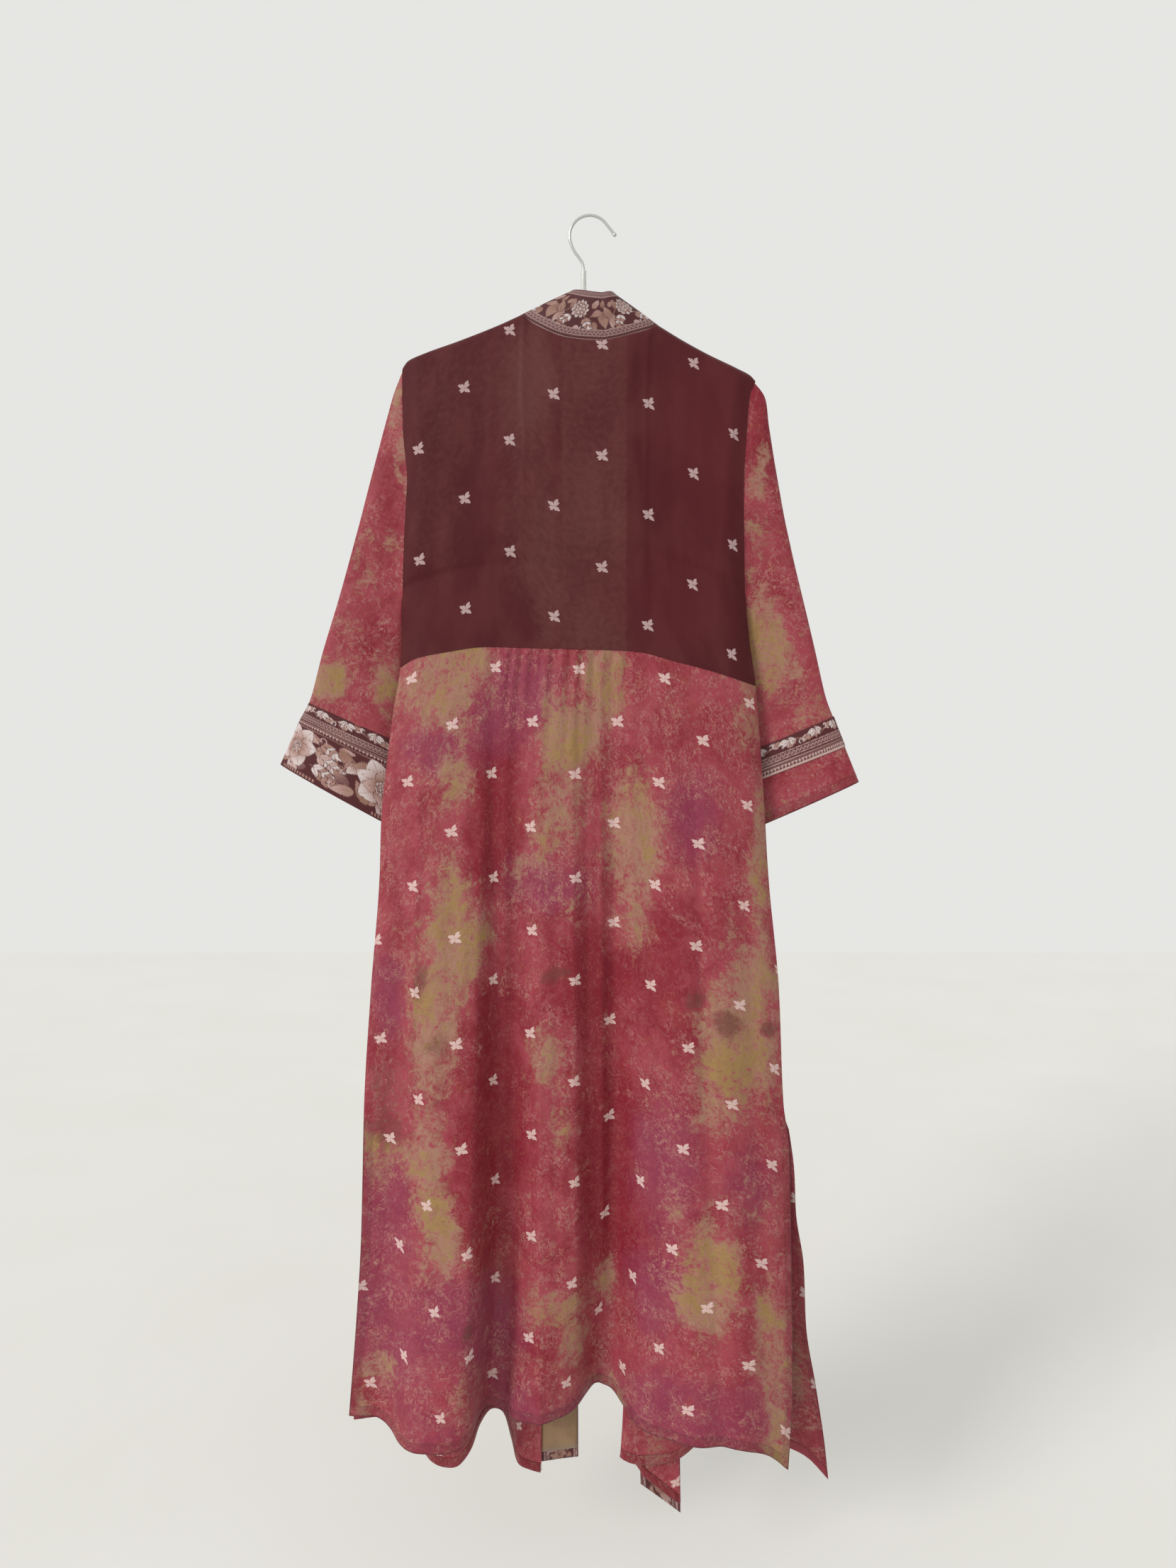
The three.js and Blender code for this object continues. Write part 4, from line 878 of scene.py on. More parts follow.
# Patches of dye: middle and half sizes as points of the picture, and strength.
OLIVE = [
    (572, 865, 55, 60, 0.9), (602, 828, 18, 25, 0.9), (583, 997, 30, 36, 1), (578, 1170, 32, 75, 0.9),
    (768, 870, 28, 50, 0.95), (740, 930, 28, 45, 0.95), (708, 933, 22, 40, 0.8), (716, 1005, 34, 60, 0.8),
    (690, 1060, 26, 40, 0.6), (650, 1120, 24, 40, 0.6), (540, 885, 40, 40, 0.6), (720, 1180, 20, 60, 0.4),
    (815, 1055, 36, 52, 1), (806, 1148, 22, 60, 0.9), (956, 912, 14, 30, 0.6), (974, 1101, 15, 90, 0.9),
    (576, 1205, 45, 50, 1), (552, 1322, 35, 75, 1), (547, 1474, 30, 45, 1.1), (556, 1567, 34, 52, 1),
    (483, 1479, 35, 30, 0.8), (610, 1553, 18, 25, 0.5), (694, 1347, 28, 35, 0.9), (718, 1430, 20, 25, 0.5),
    (699, 1665, 38, 25, 0.8), (777, 1641, 15, 30, 0.8), (733, 1710, 16, 45, 0.8), (944, 1322, 55, 90, 1),
    (973, 1254, 28, 35, 0.9), (909, 1607, 38, 55, 1), (895, 1661, 30, 30, 0.9), (865, 1538, 15, 25, 0.5),
    (983, 1670, 20, 35, 1), (988, 1729, 22, 60, 0.8), (998, 1837, 14, 50, 0.8), (473, 1754, 25, 25, 0.8),
    (454, 1798, 12, 20, 0.8), (586, 1764, 20, 50, 0.5), (777, 1788, 25, 30, 0.7), (973, 1543, 25, 15, 0.5),
    (904, 1430, 30, 30, 0.5), (514, 585, 7, 60, 1), (1030, 1785, 18, 60, 0.6), (838, 1865, 20, 40, 0.5),
    (508, 490, 10, 25, 0.8), (500, 525, 12, 16, 0.8), (467, 683, 12, 14, 0.7),
    (496, 680, 12, 16, 0.7), (462, 726, 14, 16, 0.7), (440, 800, 16, 20, 0.7), (410, 867, 25, 30, 1),
    (488, 867, 18, 30, 0.9), (972, 585, 18, 25, 0.9), (969, 616, 14, 25, 0.8), (969, 671, 20, 25, 0.6),
    (963, 720, 12, 25, 0.6), (977, 798, 25, 40, 0.9), (986, 841, 35, 50, 0.9), (1040, 905, 24, 30, 0.5),
]
PLUM = [
    (629, 918, 35, 50, 1), (552, 958, 45, 35, 1), (671, 881, 50, 60, 1), (696, 1126, 60, 40, 1),
    (882, 1040, 40, 60, 1), (851, 1484, 45, 90, 1), (841, 1646, 40, 60, 1), (557, 1666, 55, 60, 1),
    (488, 1543, 35, 80, 1.2), (488, 1273, 25, 60, 1), (846, 1778, 60, 45, 1), (963, 1518, 40, 60, 0.8),
    (985, 1800, 60, 80, 0.6), (738, 1798, 40, 20, 0.8), (498, 1729, 45, 45, 0.8), (625, 1700, 45, 60, 1),
    (655, 1790, 40, 40, 1), (466, 1680, 30, 80, 1), (545, 1800, 50, 40, 0.7), (915, 1800, 50, 40, 0.8),
]
CRIMSON = [
    (629, 1030, 28, 90, 1), (620, 1450, 40, 120, 0.75), (777, 1470, 35, 100, 1), (753, 1249, 40, 60, 1),
    (505, 637, 15, 40, 0.7), (972, 518, 22, 60, 0.8), (470, 600, 40, 160, 0.15), (840, 1250, 30, 60, 0.4),
    (640, 1330, 30, 80, 0.6), (870, 1250, 30, 70, 0.6), (805, 1560, 26, 60, 0.8),
]
STAINS = [
    (929, 1308, 22, 22, 1), (988, 1315, 14, 14, 1), (890, 1268, 12, 15, 0.9), (559, 1325, 24, 20, 0.7),
    (532, 1249, 12, 25, 0.9), (713, 1244, 22, 14, 0.9), (593, 1685, 8, 14, 0.9), (485, 1450, 30, 28, 0.8),
    (483, 1386, 25, 40, 0.7), (596, 1832, 14, 10, 0.9), (630, 1641, 30, 70, 0.55),
]
# The upper back's faded bands, and its redder places.
FADED = [
    (682, 480, 34, 60, 0.8), (700, 730, 20, 90, 0.7), (600, 500, 60, 60, 0.35), (670, 620, 30, 120, 0.5),
    (560, 640, 30, 90, 0.35), (560, 480, 30, 30, 0.15), (860, 600, 20, 100, 0.2),
]
REDDER = [(900, 560, 60, 120, 0.8), (640, 600, 20, 60, 0.3), (860, 760, 60, 60, 0.7), (560, 780, 50, 40, 0.4)]


def patches(x, z, table, seed, hard=0.2, soft=1.9):
    """How much of a table's dye is at each place, with edges bent by noise."""
    x = x + 7 * noise(x, z, 24, seed) + 3.5 * noise(x, z, 9, seed + 1)
    z = z + 9 * noise(x, z, 27, seed + 2) + 4 * noise(x, z, 10, seed + 3)
    left = np.ones_like(x)
    for px, py, rx, ry, strength in table:
        cx, cz = on_back(px, py)
        away = np.hypot((x - cx) / (0.93 * rx), (z - cz) / (0.95 * ry))
        left = left * (1 - np.minimum(1, strength) * (1 - smooth(away, hard, soft)))
    return 1 - left


def dye_of(grid):
    """The dye at each point of a grid: olive, plum, stains and crimson."""
    x, z = grid[..., 0], grid[..., 2]
    tables = ((OLIVE, 41), (PLUM, 51), (STAINS, 61), (CRIMSON, 71))
    return np.stack([patches(x, z, rows, seed) for rows, seed in tables], axis=-1)


# ---- the woven pictures of the brocade ------------------------------------------------------
GROUND, DUSKY, ROSE = srgb(80, 28, 32)[:3], srgb(110, 72, 72)[:3], srgb(160, 122, 112)[:3]
SILVER, PINK, TAN = srgb(204, 190, 188)[:3], srgb(184, 154, 149)[:3], srgb(140, 102, 88)[:3]
COLLAR_SHADE = 0.84
COLLAR_UNIT, CUFF_UNIT = 58.0, 88.0
BAND_PATTERN, CUFF_PATTERN, TRIM_PATTERN = 57, 92.4, 34


class Weaving:
    """Colours woven on a grid of points: x across the band and y along it, in millimetres."""

    def __init__(self, x, y):
        self.x, self.y = x, y
        self.colour = np.zeros((*x.shape, 4))
        self.colour[..., :3] = GROUND

    def paint(self, inside, colour, thread=1.0, share=1.0):
        """Covers a share of the places where inside is above 0."""
        cover = (share * np.clip(inside / 0.45 + 0.5, 0, 1))[..., None]
        self.colour = mix(self.colour, np.array([*colour, thread]), cover)

    def local(self, cx, cy, angle):
        """Coordinates along and across a motif at a place and an angle."""
        turn = math.radians(angle)
        dx, dy = self.x - cx, self.y - cy
        return dx * math.cos(turn) + dy * math.sin(turn), dy * math.cos(turn) - dx * math.sin(turn)

    def leaf(self, cx, cy, angle, length, width, colour=ROSE, serrated=0.0, tip=None, full=0.0):
        """A leaf, or a petal if full, with a dark outline and midrib, paling towards its tip."""
        a, b = self.local(cx, cy, angle)
        t = np.clip(a / length, 0, 1)
        half = width / 2 * np.sin(math.pi * t ** (0.68 + full)) ** (1.1 - 0.6 * full)
        half = half * (1 - serrated * np.abs((a / 2.4) % 1 * 2 - 1))
        within = (a > -0.5) & (a < length + 0.5)
        self.paint(np.where(within, half - np.abs(b) + 0.55, -1), GROUND, 0.2)
        inside = np.where((a > 0) & (a < length), half - np.abs(b), -1)
        self.paint(inside, colour)
        if tip is not None:
            self.paint(inside, tip, 1.0, smooth(t, 0.25, 0.95))
        if width > 4:
            self.paint(np.where(inside > 0.3, 0.2 - np.abs(b), -1), TAN, 0.4)

    def blossom(self, cx, cy, radius, turn=0.0, colours=(SILVER, ROSE, PINK)):
        """A full flower of overlapping petals, laid from the outside in."""
        rings = ((1.0, 11, 0.5), (0.76, 9, 0.54), (0.54, 7, 0.56), (0.34, 5, 0.6))
        for k, (share, count, broad) in enumerate(rings):
            for j in range(count):
                angle = math.degrees(turn) + 360 * (j + 0.5 * k) / count
                reach = radius * share
                first, second = colours[k % 2], colours[(k + j) % 3]
                self.leaf(cx, cy, angle, reach, reach * broad, second, 0, first, 0.5)
        self.paint(0.09 * radius - np.hypot(self.x - cx, self.y - cy), colours[0])

    def spray(self, cx, cy, angle, length, count=5, colour=SILVER, other=ROSE):
        """A feathered leaf: pairs of leaflets along a stem, and one at its end."""
        turn = math.radians(angle)
        dx, dy = math.cos(turn), math.sin(turn)
        self.stem([(cx, cy), (cx + dx * length * 0.8, cy + dy * length * 0.8)], 0.8, TAN)
        for k in range(count, 0, -1):
            along = length * 0.78 * k / count
            size = length * 0.42 * (1.1 - 0.45 * k / count)
            for side in (-1, 1):
                shade = colour if (k + side) % 2 else other
                self.leaf(cx + dx * along, cy + dy * along, angle + side * 46, size, size * 0.5, shade)
        self.leaf(cx + dx * length * 0.7, cy + dy * length * 0.7, angle, length * 0.34, length * 0.16, colour)

    def stem(self, path, width, colour=ROSE):
        """A line of one width."""
        best = np.full(self.x.shape, 1e9)
        for (ax, ay), (bx, by) in zip(path[:-1], path[1:]):
            span = (bx - ax) ** 2 + (by - ay) ** 2
            t = np.clip(((self.x - ax) * (bx - ax) + (self.y - ay) * (by - ay)) / span, 0, 1)
            best = np.minimum(best, np.hypot(self.x - ax - t * (bx - ax), self.y - ay - t * (by - ay)))
        self.paint(width / 2 - best, colour)

    def scroll(self, cx, cy, size, start, turn=1.0, colour=ROSE, width=1.1):
        """A line that curls inwards."""
        angles = np.linspace(0, 1.5 * math.pi, 12)
        reach = size * (1 - 0.6 * angles / angles[-1])
        path = [
            (cx + r * math.cos(start + turn * a), cy + r * math.sin(start + turn * a))
            for a, r in zip(angles, reach)
        ]
        self.stem(path, width, colour)

    def motifs(self, cx, cy, table):
        """Motifs in their order: each row has a kind, a place from the middle, and the rest."""
        for kind, dx, dy, *rest in table:
            getattr(self, kind)(cx + dx, cy + dy, *rest)

    def stems(self, cx, cy, table):
        """Lines whose points are given from the middle, with their widths and colours."""
        for path, width, colour in table:
            self.stem([(cx + dx, cy + dy) for dx, dy in path], width, colour)

    def band(self, start, end, colour, thread=0.4):
        """A stripe along the cloth."""
        self.paint(np.minimum(self.x - start, end - self.x), colour, thread)

    def rope(self, at, width, pitch, colour=PINK):
        """A twisted cord along the cloth."""
        near = width / 2 - np.abs(self.x - at)
        strand = 0.36 - np.abs(((self.y + 1.6 * self.x) / pitch) % 1 - 0.5)
        self.paint(np.minimum(near, pitch * strand), colour)

    def zigzag(self, start, end, pitch, colour, line):
        """A zigzag line that fills a stripe."""
        wave = np.abs((self.y / pitch) % 1 * 2 - 1)
        middle = start + line / 2 + (end - start - line) * wave
        inside = np.minimum(line / 2 - np.abs(self.x - middle), np.minimum(self.x - start, end - self.x))
        self.paint(inside, colour)

    def triangles(self, start, end, pitch, colour=PINK):
        """A row of small triangles."""
        reach = np.abs((self.y / pitch) % 1 * 2 - 1)
        inside = np.minimum((end - self.x) - (end - start) * (1 - reach), self.x - start)
        self.paint(inside, colour)


def vine(w, start, width, length, unit=27.0):
    """A running stem with leaves, scrolls and small flowers along the band."""
    middle = start + width / 2
    turn = np.linspace(0, 1, 7)
    for k in range(-1, int(length / unit) + 2):
        y, flip = k * unit, 1 if k % 2 else -1
        bend = flip * 0.28 * width
        w.stem([(middle + bend * math.sin(math.pi * t), y + t * unit) for t in turn], 0.9, TAN)
        for across, along, angle, reach, broad, colour, serrated in (
            (0.1 * flip, 0.2, 90 + flip * 50, 0.8, 0.52, ROSE, 0.15),
            (-0.1 * flip, 0.75, 90 - flip * 50, 0.75, 0.5, PINK, 0.15),
            (0.3 * flip, 0.64, 90 + flip * 20, 0.6, 0.38, ROSE, 0),
        ):
            place = middle + across * width, y + along * unit
            w.leaf(*place, angle, reach * width, broad * width, colour, serrated)
        w.scroll(middle + flip * 0.24 * width, y + 0.98 * unit, 0.24 * width, 0.6, flip, SILVER, 0.8)
        for angle in (-70, -35, 0, 35, 70):
            tone = SILVER if angle else PINK
            w.leaf(middle - 0.3 * width, y + 0.45 * unit, angle, 0.78 * width, 0.36 * width, tone)


def edging(w, start):
    """Rope lines either side of a narrow zigzag, 9 mm wide."""
    w.band(start, start + 9, GROUND)
    w.rope(start + 0.8, 1.1, 2.0)
    w.band(start + 1.9, start + 6.4, DUSKY)
    w.zigzag(start + 2.0, start + 6.3, 3.6, PINK, 0.9)
    w.rope(start + 7.5, 1.1, 2.0)


# The neck band's repeat, placed from the middle flower's line.
COLLAR_STEMS = [
    ([(13, -29), (4, -20), (-4, -12), (0, 0), (6, 12), (-3, 20), (2, 26), (13, 29)], 0.9, TAN),
    ([(4, -20), (15, -14), (19, -4)], 0.8, ROSE),
    ([(6, 12), (16, 14), (20, 22)], 0.8, ROSE),
]
COLLAR_LEAVES = [
    ("leaf", 4, -20, -150, 16, 9, TAN, 0.15, ROSE),
    ("leaf", 4, -18, -12, 14, 8, ROSE, 0.15, PINK),
    ("leaf", -4, -12, 176, 12, 7.5, TAN, 0.1, ROSE),
    ("leaf", -9, -22, 120, 11, 6, ROSE, 0.15),
    ("leaf", -4, 28, 8, 21, 13, TAN, 0.1, ROSE),
    ("leaf", -4, 26, -58, 14, 8, ROSE, 0.15, TAN),
    ("leaf", -2, 30, 62, 15, 8, ROSE, 0.15, PINK),
    ("leaf", -8, 28, 168, 10, 7, TAN, 0.1, ROSE),
    ("leaf", -7, 15, 140, 13, 8, ROSE, 0.2, PINK),
    ("leaf", 9, 18, 20, 11, 6.5, TAN, 0.15, ROSE),
    ("spray", 3, 7, 28, 18, 4),
    ("spray", 2, -7, -30, 17, 4, ROSE, SILVER),
    ("leaf", 14, 2, 0, 8, 5, PINK),
    ("leaf", 16, -13, -40, 8, 5, ROSE),
]
COLLAR_SCROLLS = [
    ("scroll", -14, 21, 3.2, 0.4, 1, PINK, 0.8),
    ("scroll", -14, -13, 3.0, 1.4, -1, ROSE, 0.8),
    ("scroll", 18, 8, 3.0, 3.6, 1, SILVER, 0.8),
    ("scroll", 18, -22, 3.0, 2.4, -1, PINK, 0.8),
]


def weave_collar(x, y, width):
    """The neck band: x from its free edge, y along it from the centre back."""
    w = Weaving(x, y)
    w.band(0.0, 5.6, DUSKY)
    w.zigzag(0.6, 5.0, 2.8, PINK, 0.9)
    w.rope(6.4, 1.2, 2.2)
    first, last = math.floor(y.min() / COLLAR_UNIT) - 1, math.ceil(y.max() / COLLAR_UNIT) + 1
    for k in range(first, last):
        place = 27.0, (k + 0.5) * COLLAR_UNIT
        w.stems(*place, COLLAR_STEMS)
        w.motifs(*place, COLLAR_LEAVES)
        w.motifs(*place, [("blossom", -5, 0, 11.0, 0.2 * k)])
        w.motifs(*place, COLLAR_SCROLLS)
    edging(w, width - 12.4)
    w.band(width - 2.4, width - 1.2, GROUND)
    w.rope(width - 0.5, 1.0, 2.0)
    w.colour[..., :3] *= COLLAR_SHADE
    return w.colour


# The cuff's repeat: x from the seam, y from the middle of the large flower.
CUFF_BACKGROUND = [(TAN, ROSE), (ROSE, PINK), (DUSKY, ROSE), (ROSE, SILVER)]
CUFF_STEMS = [([(40, -34), (56, -14), (60, 8), (50, 30), (58, 54)], 1.8, TAN)]
CUFF_LEAVES = [
    ("leaf", 76, -24, -60, 22, 13, ROSE, 0.2, PINK),
    ("leaf", 84, -12, -150, 26, 12, TAN, 0.25, ROSE),
    ("leaf", 80, 4, 30, 18, 12, PINK, 0.2, SILVER),
    ("leaf", 40, -14, -60, 20, 12, TAN, 0.2, ROSE),
    ("leaf", 36, 6, 70, 22, 11, ROSE, 0.1, PINK),
]
# The large flower's petals: angle and length.
CUFF_OUTER_PETALS = [(-150, 32), (-106, 27), (150, 30), (104, 26), (-50, 27), (30, 27)]
CUFF_INNER_PETALS = [(-170, 20), (-80, 19), (85, 20), (0, 18)]
CUFF_SPRAYS = [
    ("spray", 40, 26, 66, 24, 5),
    ("spray", 56, 26, 70, 30, 6, SILVER, PINK),
    ("spray", 72, 24, 78, 28, 6, ROSE, SILVER),
    ("spray", 84, 34, 100, 20, 4, PINK, ROSE),
    ("leaf", 43, 50, 30, 15, 10, TAN, 0.3, ROSE),
    ("leaf", 38, 44, 100, 15, 9, ROSE, 0.2, PINK),
    ("scroll", 37, 28, 4.0, 1.2, 1, PINK, 1.1),
]


def weave_cuff(x, y, length):
    """The wide cuff: x from its seam to its hem, y round it."""
    w = Weaving(x, y)
    vine(w, 1.2, 12.6, length)
    edging(w, 14.6)
    w.band(24.2, 25.0, ROSE)
    w.triangles(26.2, 29.4, 3.4)
    w.rope(31.0, 1.0, 2.2, ROSE)
    for k in range(-1, int(length / CUFF_UNIT) + 2):
        s = (k + 0.1) * CUFF_UNIT
        for j in range(14):
            first, second = CUFF_BACKGROUND[j % 4]
            w.leaf(37 + 19 * j % 50, s - 42 + 6.3 * j, 35 + 97 * j, 20, 12, first, 0.12, second)
        w.stems(0, s, CUFF_STEMS)
        w.motifs(0, s, CUFF_LEAVES)
        for angle, reach in CUFF_OUTER_PETALS:
            w.leaf(58, s, angle, reach, 22, ROSE, 0, SILVER, 0.35)
        for angle, reach in CUFF_INNER_PETALS:
            w.leaf(58, s, angle, reach, 16, TAN, 0, PINK, 0.35)
        w.blossom(58, s, 8.5, 0.3 * k)
        w.motifs(0, s, CUFF_SPRAYS)
    bars = np.minimum(3.2 * (0.26 - np.abs((y / 3.2) % 1 - 0.5)), np.minimum(x - 87.2, 90.8 - x))
    marked = np.where(np.sin(y / 14) > 0.1, 1.0, -1.0)
    w.paint(np.minimum(marked, np.minimum(x - 86.4, 92.6 - x)), GROUND, 0.2)
    w.paint(np.minimum(marked, bars), ROSE)
    return w.colour


def weave_trim(x, y, length):
    """The narrow trim: x from its upper edge, y round it."""
    w = Weaving(x, y)
    vine(w, 1.0, 12.0, length)
    edging(w, 14.0)
    w.band(23.6, 24.4, PINK)
    w.band(24.4, 27.2, DUSKY)
    w.triangles(27.4, 31.6, 3.0)
    w.band(31.2, TRIM_PATTERN + 2, PINK)
    return w.colour


# ---- pieces ---------------------------------------------------------------------------------
# How wide each panel's cloth is, and how far from a hem counts as none or as doubled, in mm.
YOKE_WIDTH, SKIRT_WIDTH, FRONT_WIDTH, FACING_WIDTH = 430, 640, 330, 47
NO_HEM, DOUBLED = 60.0, 8.0
FACING_ROW = 10
# Rows of sprigs: shares of the skirt's length, and the first row's height on the upper back.
SKIRT_FIRST_ROW, SKIRT_ROW_SHARE, YOKE_FIRST_ROW_Z = 0.028, 0.0662, -271
# Columns of sprigs on the skirt, as picture places at the waist and at the hem.
SKIRT_COLUMNS = [
    (-4, 330, 368), (-3, 380, 415), (-2, 430, 463), (-1, 478, 513), (0, 526, 563), (1, 584, 594),
    (2, 634, 618), (3, 684, 666), (4, 740, 718), (5, 791, 753), (6, 849, 790), (7, 898, 824),
    (8, 958, 868), (9, 1002, 936), (10, 1050, 1003), (11, 1100, 1060),
]
# Columns of sprigs on the upper back: x and how far each is raised.
YOKE_COLUMNS = [
    (-1, -252, 6), (0, -200, 0), (1, -146, -7), (2, -93, -10), (3, -42, 2), (4, 14.6, 8.4), (5, 68.6, 12),
    (6, 121.5, 28), (7, 168, 46), (8, 216, 62),
]


def skirt_lattice(u, v):
    """The skirt's sprig coordinates: columns that fan out, and rows an even share of its length."""
    path = even(curve(BACK_HEM))
    shares_along = np.linspace(0, 1, 400)
    hem_x = path(shares_along)[:, 0]
    rows = np.array(SKIRT_COLUMNS, float)
    waist, foot = on_back(rows[:, 1], 900)[0], on_back(rows[:, 2], 1800)[0]
    top = (waist - SEAM_LEFT) / (SEAM_RIGHT - SEAM_LEFT)
    low = np.interp(foot, hem_x, shares_along)
    low += (np.minimum(foot - hem_x[0], 0) + np.maximum(foot - hem_x[-1], 0)) / SKIRT_WIDTH
    s = np.stack([np.interp(u, mix(top, low, down), rows[:, 0]) for down in v], axis=1)
    t = np.broadcast_to((v - SKIRT_FIRST_ROW) / SKIRT_ROW_SHARE, s.shape)
    return np.stack([s, t], axis=-1)


def yoke_lattice(grid):
    """The upper back's sprig coordinates: its columns are raised towards its right."""
    rows = np.array(YOKE_COLUMNS, float)
    x = grid[..., 0]
    s = np.interp(x, rows[:, 1], rows[:, 0])
    t = (YOKE_FIRST_ROW_Z - grid[..., 2] - np.interp(x, rows[:, 1], rows[:, 2])) / YOKE_PITCH[1]
    return np.stack([s, t], axis=-1)


def plain_lattice(uv, shift=0.0):
    """Even sprig coordinates of a straight panel."""
    return uv / SKIRT_PITCH + [shift, 0]


def spread(u, width, grid):
    """Cloth coordinates of a panel: across by share of its width, down by length."""
    down = lengths(grid, 1)
    return np.stack([np.broadcast_to((u * width)[:, None], down.shape), down], axis=-1)


def flat_uv(grid):
    """Cloth coordinates of a sleeve, which lies flat: the same on both its sides."""
    return np.stack([grid[..., 0], -grid[..., 2]], axis=-1) * MM


def wrapped(grid, row):
    """A tube's lengths round it and down it, and how long it is round at one row of points."""
    down = lengths(grid, 1)
    round_mm = float(lengths(grid[:, row], 0)[-1])
    along = np.broadcast_to((np.linspace(0, 1, len(grid)) * round_mm)[:, None], down.shape)
    return along, down, round_mm


def mean_length(grid):
    """How long a grid's columns are on average, in metres."""
    return float(lengths(grid, 1)[:, -1].mean()) * MM


def finished(piece, slot, *nodes):
    """A piece that stands in place of nodes, which are hidden; slot is not used."""
    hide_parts(*nodes)
    return piece


def dyed_sheet(name, node, grid, maps, edge, material=None, slot="dyed_silk", **settings):
    """A sheet of dyed cloth in place of a node; edge is the distance to its nearest hem."""
    colours, fields = {"dye": dye_of(grid)}, {"edge": np.broadcast_to(edge, grid.shape[:2])}
    piece = sheet_mesh(name, grid, material or DYED, maps, colours, fields, **settings)
    return finished(piece, slot, node)


def woven_sheet(name, node, grid, x, y, woven, **settings):
    """A sheet of brocade in place of a node, with the colours woven on its points."""
    maps = {"UVMap": np.stack([x, y], axis=-1) * MM}
    piece = sheet_mesh(name, grid, BROCADE, maps, {"woven": woven}, **settings)
    return finished(piece, "brocade", node)


def hem_line(grid, back):
    """Points of a grid at a distance back from its hem, one for each column."""
    run = lengths(grid, 1)
    picked = []
    for line, along in zip(grid, run):
        at = along[-1] - back
        picked.append([np.interp(at, along, line[:, k]) for k in range(3)])
    return np.array(picked)


def hem_strip(name, node, grid, side):
    """The turned-up edge of a hem, on one side of the cloth."""
    strip = np.stack([hem_line(grid, back) for back in (TURN_UP, 9, 4.5, 1.2, 0.2)], axis=1)[::2]
    strip[:, :, 1] += side * np.array([0.55, 0.8, 0.8, 0.7, 0.4])
    down = lengths(strip, 1)
    across = np.broadcast_to((np.arange(len(strip)) * 6.0)[:, None], down.shape)
    uv = np.stack([across, down], axis=-1) * MM
    maps = {"UVMap": uv, "lattice": np.full(uv.shape, 0.5)}
    return dyed_sheet(name, node, strip, maps, DOUBLED, thickness=0.3)


def stitches(name, path, out, pitch=4.2, length=2.7, width=0.5, lift=0.35):
    """A row of small sewn stitches along a path, standing outwards."""
    run = lengths(path, 0)
    starts = np.arange(pitch, run[-1] - pitch, pitch)
    at = lambda s: np.stack([np.interp(s, run, path[:, k]) for k in range(3)], axis=-1)
    a, b = at(starts), at(starts + length)
    out = np.broadcast_to(np.array(out, float), a.shape)
    along = b - a
    across = np.cross(along, out)
    across *= width / 2 / np.linalg.norm(across, axis=-1, keepdims=True)
    low, high = -0.1 * out, lift * out
    corners = [a + low, b + low, mix(a, b, 0.3) + high + across, mix(a, b, 0.7) + high + across]
    corners += [mix(a, b, 0.3) + high - across, mix(a, b, 0.7) + high - across]
    verts = np.stack(corners, axis=1)
    faces = []
    for k in range(len(starts)):
        o = 6 * k
        faces += [(o, o + 1, o + 3, o + 2), (o, o + 4, o + 5, o + 1), (o + 2, o + 3, o + 5, o + 4)]
        faces += [(o, o + 2, o + 4), (o + 1, o + 5, o + 3)]
    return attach(new_piece(name, verts, faces, THREAD), "root")


DYED = dyed_silk("dyed_silk", True)
SLEEVE_SILK = dyed_silk("sleeve_silk", False)
YOKE = yoke_silk()
BROCADE = brocade()
FACING = plain_silk("facing_silk", srgb(140, 112, 82), srgb(128, 100, 74))
THREAD = plain_silk("thread", srgb(112, 58, 58), srgb(96, 46, 48), 0.2)
STEEL = brushed_steel()
PLASTIC = clear_plastic()


def build_back():
    """The upper back, and the lower back with its hem and stitches."""
    grid, u, edge = yoke_grid()
    x, z = grid[..., 0], grid[..., 2]
    px = (x + PICTURE_LEFT) / PICTURE_STEP
    band = smooth(px, 711, 720) * (1 - smooth(px, 797, 803)) * (0.75 + 0.25 * noise(x, z, 60, 83))
    rim = (1 - smooth(px, 803, 797)) * smooth(px, 797, 803)
    faded = np.clip(np.maximum(patches(x, z, FADED, 81, 0.5), 0.8 * band) - 0.8 * rim, 0, 1)
    dye = np.stack([faded, patches(x, z, REDDER, 85), 0 * x, 0 * x], axis=-1)
    maps = {"UVMap": spread(u, YOKE_WIDTH, grid) * MM, "lattice": yoke_lattice(grid)}
    yoke = sheet_mesh("yoke", grid, YOKE, maps, {"dye": dye}, {"edge": edge})
    finished(yoke, "yoke_silk", "back_yoke")

    grid, u, v, edge = skirt_grid()
    maps = {"UVMap": spread(u, SKIRT_WIDTH, grid) * MM, "lattice": skirt_lattice(u, v)}
    skirt = dyed_sheet("skirt", "back_skirt", grid, maps, edge)
    hem = hem_strip("skirt_hem", "back_skirt", grid, 1)
    sewn = stitches("stitches_hem", hem_line(grid, TURN_UP - 1) + [0, -0.25, 0], (0, -1, 0))
    finished(sewn, "dyed_silk", "back_skirt")


